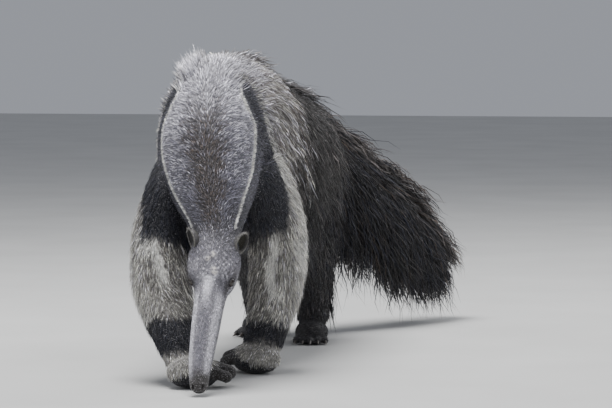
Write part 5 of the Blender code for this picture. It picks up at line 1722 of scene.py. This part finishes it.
class Look:
    """A material and the nodes that its surface is made from."""

    def __init__(self, name, **constants):
        self.material = bpy.data.materials.new(name)
        self.material.use_nodes = True
        self.tree = self.material.node_tree
        self.shader = self.tree.nodes["Principled BSDF"]
        for socket, value in constants.items():
            self.shader.inputs[socket.replace("_", " ")].default_value = value

    def feed(self, socket, value):
        """Links a value or a socket, or sets a constant, where a colour may leave out its alpha."""
        if isinstance(value, Value):
            self.tree.links.new(value.socket, socket)
        elif isinstance(value, bpy.types.NodeSocket):
            self.tree.links.new(value, socket)
        elif socket.type == "RGBA":
            socket.default_value = (*value, 1.0)
        else:
            socket.default_value = value

    def node(self, kind, settings, *inputs, **named):
        made = self.tree.nodes.new(kind)
        for key, value in settings.items():
            setattr(made, key, value)
        pairs = [*enumerate(inputs), *((key.replace("_", " "), value) for key, value in named.items())]
        for key, value in pairs:
            self.feed(made.inputs[key], value)
        return made

    def number(self, kind, settings, *inputs, **named):
        return Value(self, self.node(kind, settings, *inputs, **named).outputs[0])

    def colour_of(self, attribute):
        return self.node("ShaderNodeAttribute", {"attribute_name": attribute}).outputs["Color"]

    def number_of(self, attribute):
        return Value(self, self.node("ShaderNodeAttribute", {"attribute_name": attribute}).outputs["Fac"])

    def noise(self, scale, detail=3.0, stretched=None):
        at = self.node("ShaderNodeTexCoord", {}).outputs["Object"]
        if stretched:
            at = self.node("ShaderNodeMapping", {}, Vector=at, Scale=stretched).outputs[0]
        return self.number("ShaderNodeTexNoise", {}, Vector=at, Scale=scale, Detail=detail)

    def span(self, value, low, high, to_low=0.0, to_high=1.0):
        """A value stretched from one range to another and kept inside it."""
        return self.number(
            "ShaderNodeMapRange", {"clamp": True}, Value=value,
            From_Min=low, From_Max=high, To_Min=to_low, To_Max=to_high,
        )

    def blend(self, factor, first, second, how="MIX"):
        made = self.node("ShaderNodeMix", {"data_type": "RGBA", "blend_type": how})
        for socket, value in ((made.inputs[0], factor), (made.inputs[6], first), (made.inputs[7], second)):
            self.feed(socket, value)
        return made.outputs[2]

    def shaded(self, colour, tone):
        """A colour made lighter and darker by a tone."""
        grey = self.node("ShaderNodeCombineColor", {}, Red=tone, Green=tone, Blue=tone).outputs[0]
        return self.blend(1.0, colour, grey, "MULTIPLY")

    def give(self, name, value):
        self.feed(self.shader.inputs[name], value)

    def bump(self, height, strength, distance):
        made = self.node("ShaderNodeBump", {}, Strength=strength, Distance=distance, Height=height)
        self.give("Normal", made.outputs[0])


def hair_look(name, roughness=0.62, sheen=0.15):
    """Hair: the stored colour with fine streaks and soft patches."""
    look = Look(name, Roughness=roughness, Sheen_Weight=sheen, Sheen_Roughness=0.5, Specular_IOR_Level=0.35)
    streaks = look.noise(420.0, 2.0)
    patches = look.noise(26.0)
    tone = look.span(streaks, 0.30, 0.72, 0.72, 1.26) * look.span(patches, 0.30, 0.70, 0.86, 1.14)
    look.give("Base Color", look.shaded(look.colour_of("coat"), tone))
    look.give("Roughness", look.span(patches, 0.3, 0.7, roughness - 0.06, roughness + 0.08))
    return look.material


def skin_look():
    """Skin under the coat, and the short flat hair of the face."""
    look = Look("skin_coat", Roughness=0.7, Specular_IOR_Level=0.3, Sheen_Weight=0.12)
    hairs = look.noise(900.0, 2.0, (1.0, 0.28, 0.28))
    lumps = look.noise(160.0, 4.0)
    freckles = look.noise(620.0, 1.5)
    worn, damp = look.number_of("worn"), look.number_of("damp")
    tone = look.span(hairs, 0.30, 0.72, 0.50, 1.50) * look.span(lumps, 0.3, 0.7, 0.72, 1.26)
    base = look.shaded(look.colour_of("coat"), tone)
    base = look.blend(look.span(worn, 0.15, 0.85) * look.span(lumps, 0.35, 0.6), base, WORN_COLOUR)
    base = look.blend(look.span(freckles, 0.60, 0.70) * 0.55 * (1 - damp), base, FRECKLE_COLOUR)
    look.give("Base Color", base)
    look.give("Roughness", look.span(damp, 0.0, 1.0, 0.66, 0.34) + look.span(lumps, 0.3, 0.7, -0.05, 0.05))
    look.bump(hairs * 0.6 + lumps * 0.7 + freckles * 0.2, 0.55, 0.0012)
    return look.material


def eye_look():
    """A black pupil in a dark brown iris, and a dark white of the eye, under a wet surface."""
    look = Look("dark_eye", Roughness=0.10, Coat_Weight=0.35, Coat_Roughness=0.03)
    gaze = look.number_of("gaze")
    rays = look.noise(1400.0, 2.0)
    iris = look.blend(look.span(rays, 0.35, 0.65), (0.010, 0.006, 0.004), (0.032, 0.017, 0.009))
    inner = look.blend(look.span(gaze, 0.900, 0.925), iris, (0.002, 0.002, 0.002))
    look.give("Base Color", look.blend(look.span(gaze, 0.60, 0.68), (0.022, 0.016, 0.014), inner))
    return look.material


def horn_look():
    """Dark claws, paler and worn towards the tip, with streaks along them."""
    look = Look("claw_horn", Specular_IOR_Level=0.5)
    along = look.number_of("along")
    streaks = look.noise(300.0, 4.0, (1.0, 1.0, 0.25))
    marks = look.noise(1200.0)
    dark = look.blend(look.span(streaks, 0.35, 0.68), (0.050, 0.044, 0.042), (0.125, 0.112, 0.104))
    look.give("Base Color", look.blend(look.span(along, 0.55, 1.0, 0.0, 0.7), dark, (0.230, 0.205, 0.180)))
    look.give("Roughness", look.span(marks, 0.3, 0.7, 0.32, 0.56))
    look.bump(streaks + marks * 0.4, 0.4, 0.0006)
    return look.material


def floor_look():
    look = Look("pale_floor", Roughness=0.9)
    grain = look.noise(3.0, 5.0)
    look.give("Base Color", look.blend(look.span(grain, 0.3, 0.7), (0.50, 0.50, 0.49), (0.55, 0.55, 0.54)))
    return look.material


def wear(obj, material):
    obj.data.materials.clear()
    obj.data.materials.append(material)


# Camera, light and floor.
def make_camera():
    camera = bpy.data.objects.new("camera", bpy.data.cameras.new("camera"))
    camera.data.lens = LENS
    camera.data.sensor_width = 36.0
    camera.data.clip_start = 0.5
    camera.data.clip_end = 40.0
    camera.location = CAMERA_AT
    camera.rotation_euler = Vector(CAMERA_AIM).to_track_quat("-Z", "Y").to_euler()
    bpy.context.scene.collection.objects.link(camera)
    bpy.context.scene.camera = camera


def make_lights():
    for name, at, size, power in LIGHT_PANELS:
        lamp = bpy.data.lights.new(name, "AREA")
        lamp.shape = "DISK"
        lamp.size = size
        lamp.energy = power
        made = bpy.data.objects.new(name, lamp)
        made.location = at
        aim = Vector(LIGHT_AIM) - Vector(at)
        made.rotation_euler = aim.to_track_quat("-Z", "Y").to_euler()
        bpy.context.scene.collection.objects.link(made)
    world = bpy.data.worlds.new("soft_room")
    world.use_nodes = True
    background = world.node_tree.nodes["Background"]
    background.inputs["Color"].default_value = ROOM_COLOUR
    background.inputs["Strength"].default_value = ROOM_LIGHT
    bpy.context.scene.world = world


def make_stage():
    make_camera()
    bm = bmesh.new()
    bmesh.ops.create_grid(bm, x_segments=2, y_segments=2, size=FLOOR_SIZE)
    floor = object_of(bm, "floor")
    wear(floor, floor_look())
    make_lights()


# The whole animal.
def dress_skin():
    """The skin with its colours, and the lie and measures of the coat that grows on it."""
    skin = make_skin()
    mesh = skin.data
    mesh.shade_smooth()
    points, normals = points_of(mesh), normals_of(mesh)
    where = Whereabouts(points)
    lie, fields = coat_fields(where, normals)
    edges = edges_of(mesh)
    lie = settle(lie, edges, 14)
    lie = unit(lie - normals * dot(normals, lie))
    fields = settle(fields, edges, 6)
    mix = coat_mix(where, 0.0)
    # Under the coat the skin has the roots' darker colour as painted shade of the hair over it; on the face,
    # mostly the tips'.
    face = where.on("trunk") * smooth(9.8, 11.2, where.place)
    share = (0.10 + 0.75 * face)[:, None]
    paint(mesh, mix @ (KIND_ROOTS * 0.9) * (1 - share) + mix @ KIND_TIPS * share)
    remember(mesh, "damp", where.on("trunk") * smooth(16.3, 16.9, where.place))
    remember(mesh, "worn", worn_at(points))
    wear(skin, skin_look())
    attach(skin, "root")
    flesh = ["head", "neck", "torso", "tail"]
    for side in SIDES:
        flesh += [f"foreleg_{side}", f"hindleg_{side}", f"forepaw_{side}", f"hindfoot_{side}"]
    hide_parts(*flesh)
    return skin, lie, fields, normals


def dress_coat(skin, lie, fields, normals, hair):
    """The short coat and the long hair."""
    coats = grow_coat(skin, lie, fields, normals)
    for name, rows in LONG_HAIR.items():
        coats += grow_long_hair(name, rows)
    long_dark = hair_look("long_dark_hair", 0.50, 0.10)
    slots = {
        "coat_face": "face_coat", "coat_tail": "tail_hair", "tail_hair": "tail_hair",
        "coat_foreleg": "pale_coat", "coat_hindleg": "black_coat", "mane": "tail_hair",
    }
    for coat in coats:
        slot = next((value for start, value in slots.items() if coat.name.startswith(start)), "body_coat")
        wear(coat, long_dark if slot == "tail_hair" else hair)
        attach(coat, "root")


def dress_head(hair):
    """Ears and eyes."""
    eye_material = eye_look()
    for side in SIDES:
        ear = make_ear(side)
        wear(ear.shell, hair)
        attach(ear.shell, "root")
        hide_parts(f"ear_{side}")
        fur = ear_fur(side, ear)
        wear(fur, hair)
        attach(fur, "root")
        eye = make_eye(side)
        wear(eye, eye_material)
        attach(eye, "root")
        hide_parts(f"eye_{side}")


def dress_claws():
    horn = horn_look()
    for name, *rest in claw_list():
        claw = make_claw(name, *rest)
        wear(claw, horn)
        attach(claw, "root")
        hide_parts(name)


def main():
    make_stage()
    hair = hair_look("coat_hair")
    dress_coat(*dress_skin(), hair)
    dress_head(hair)
    dress_claws()


main()
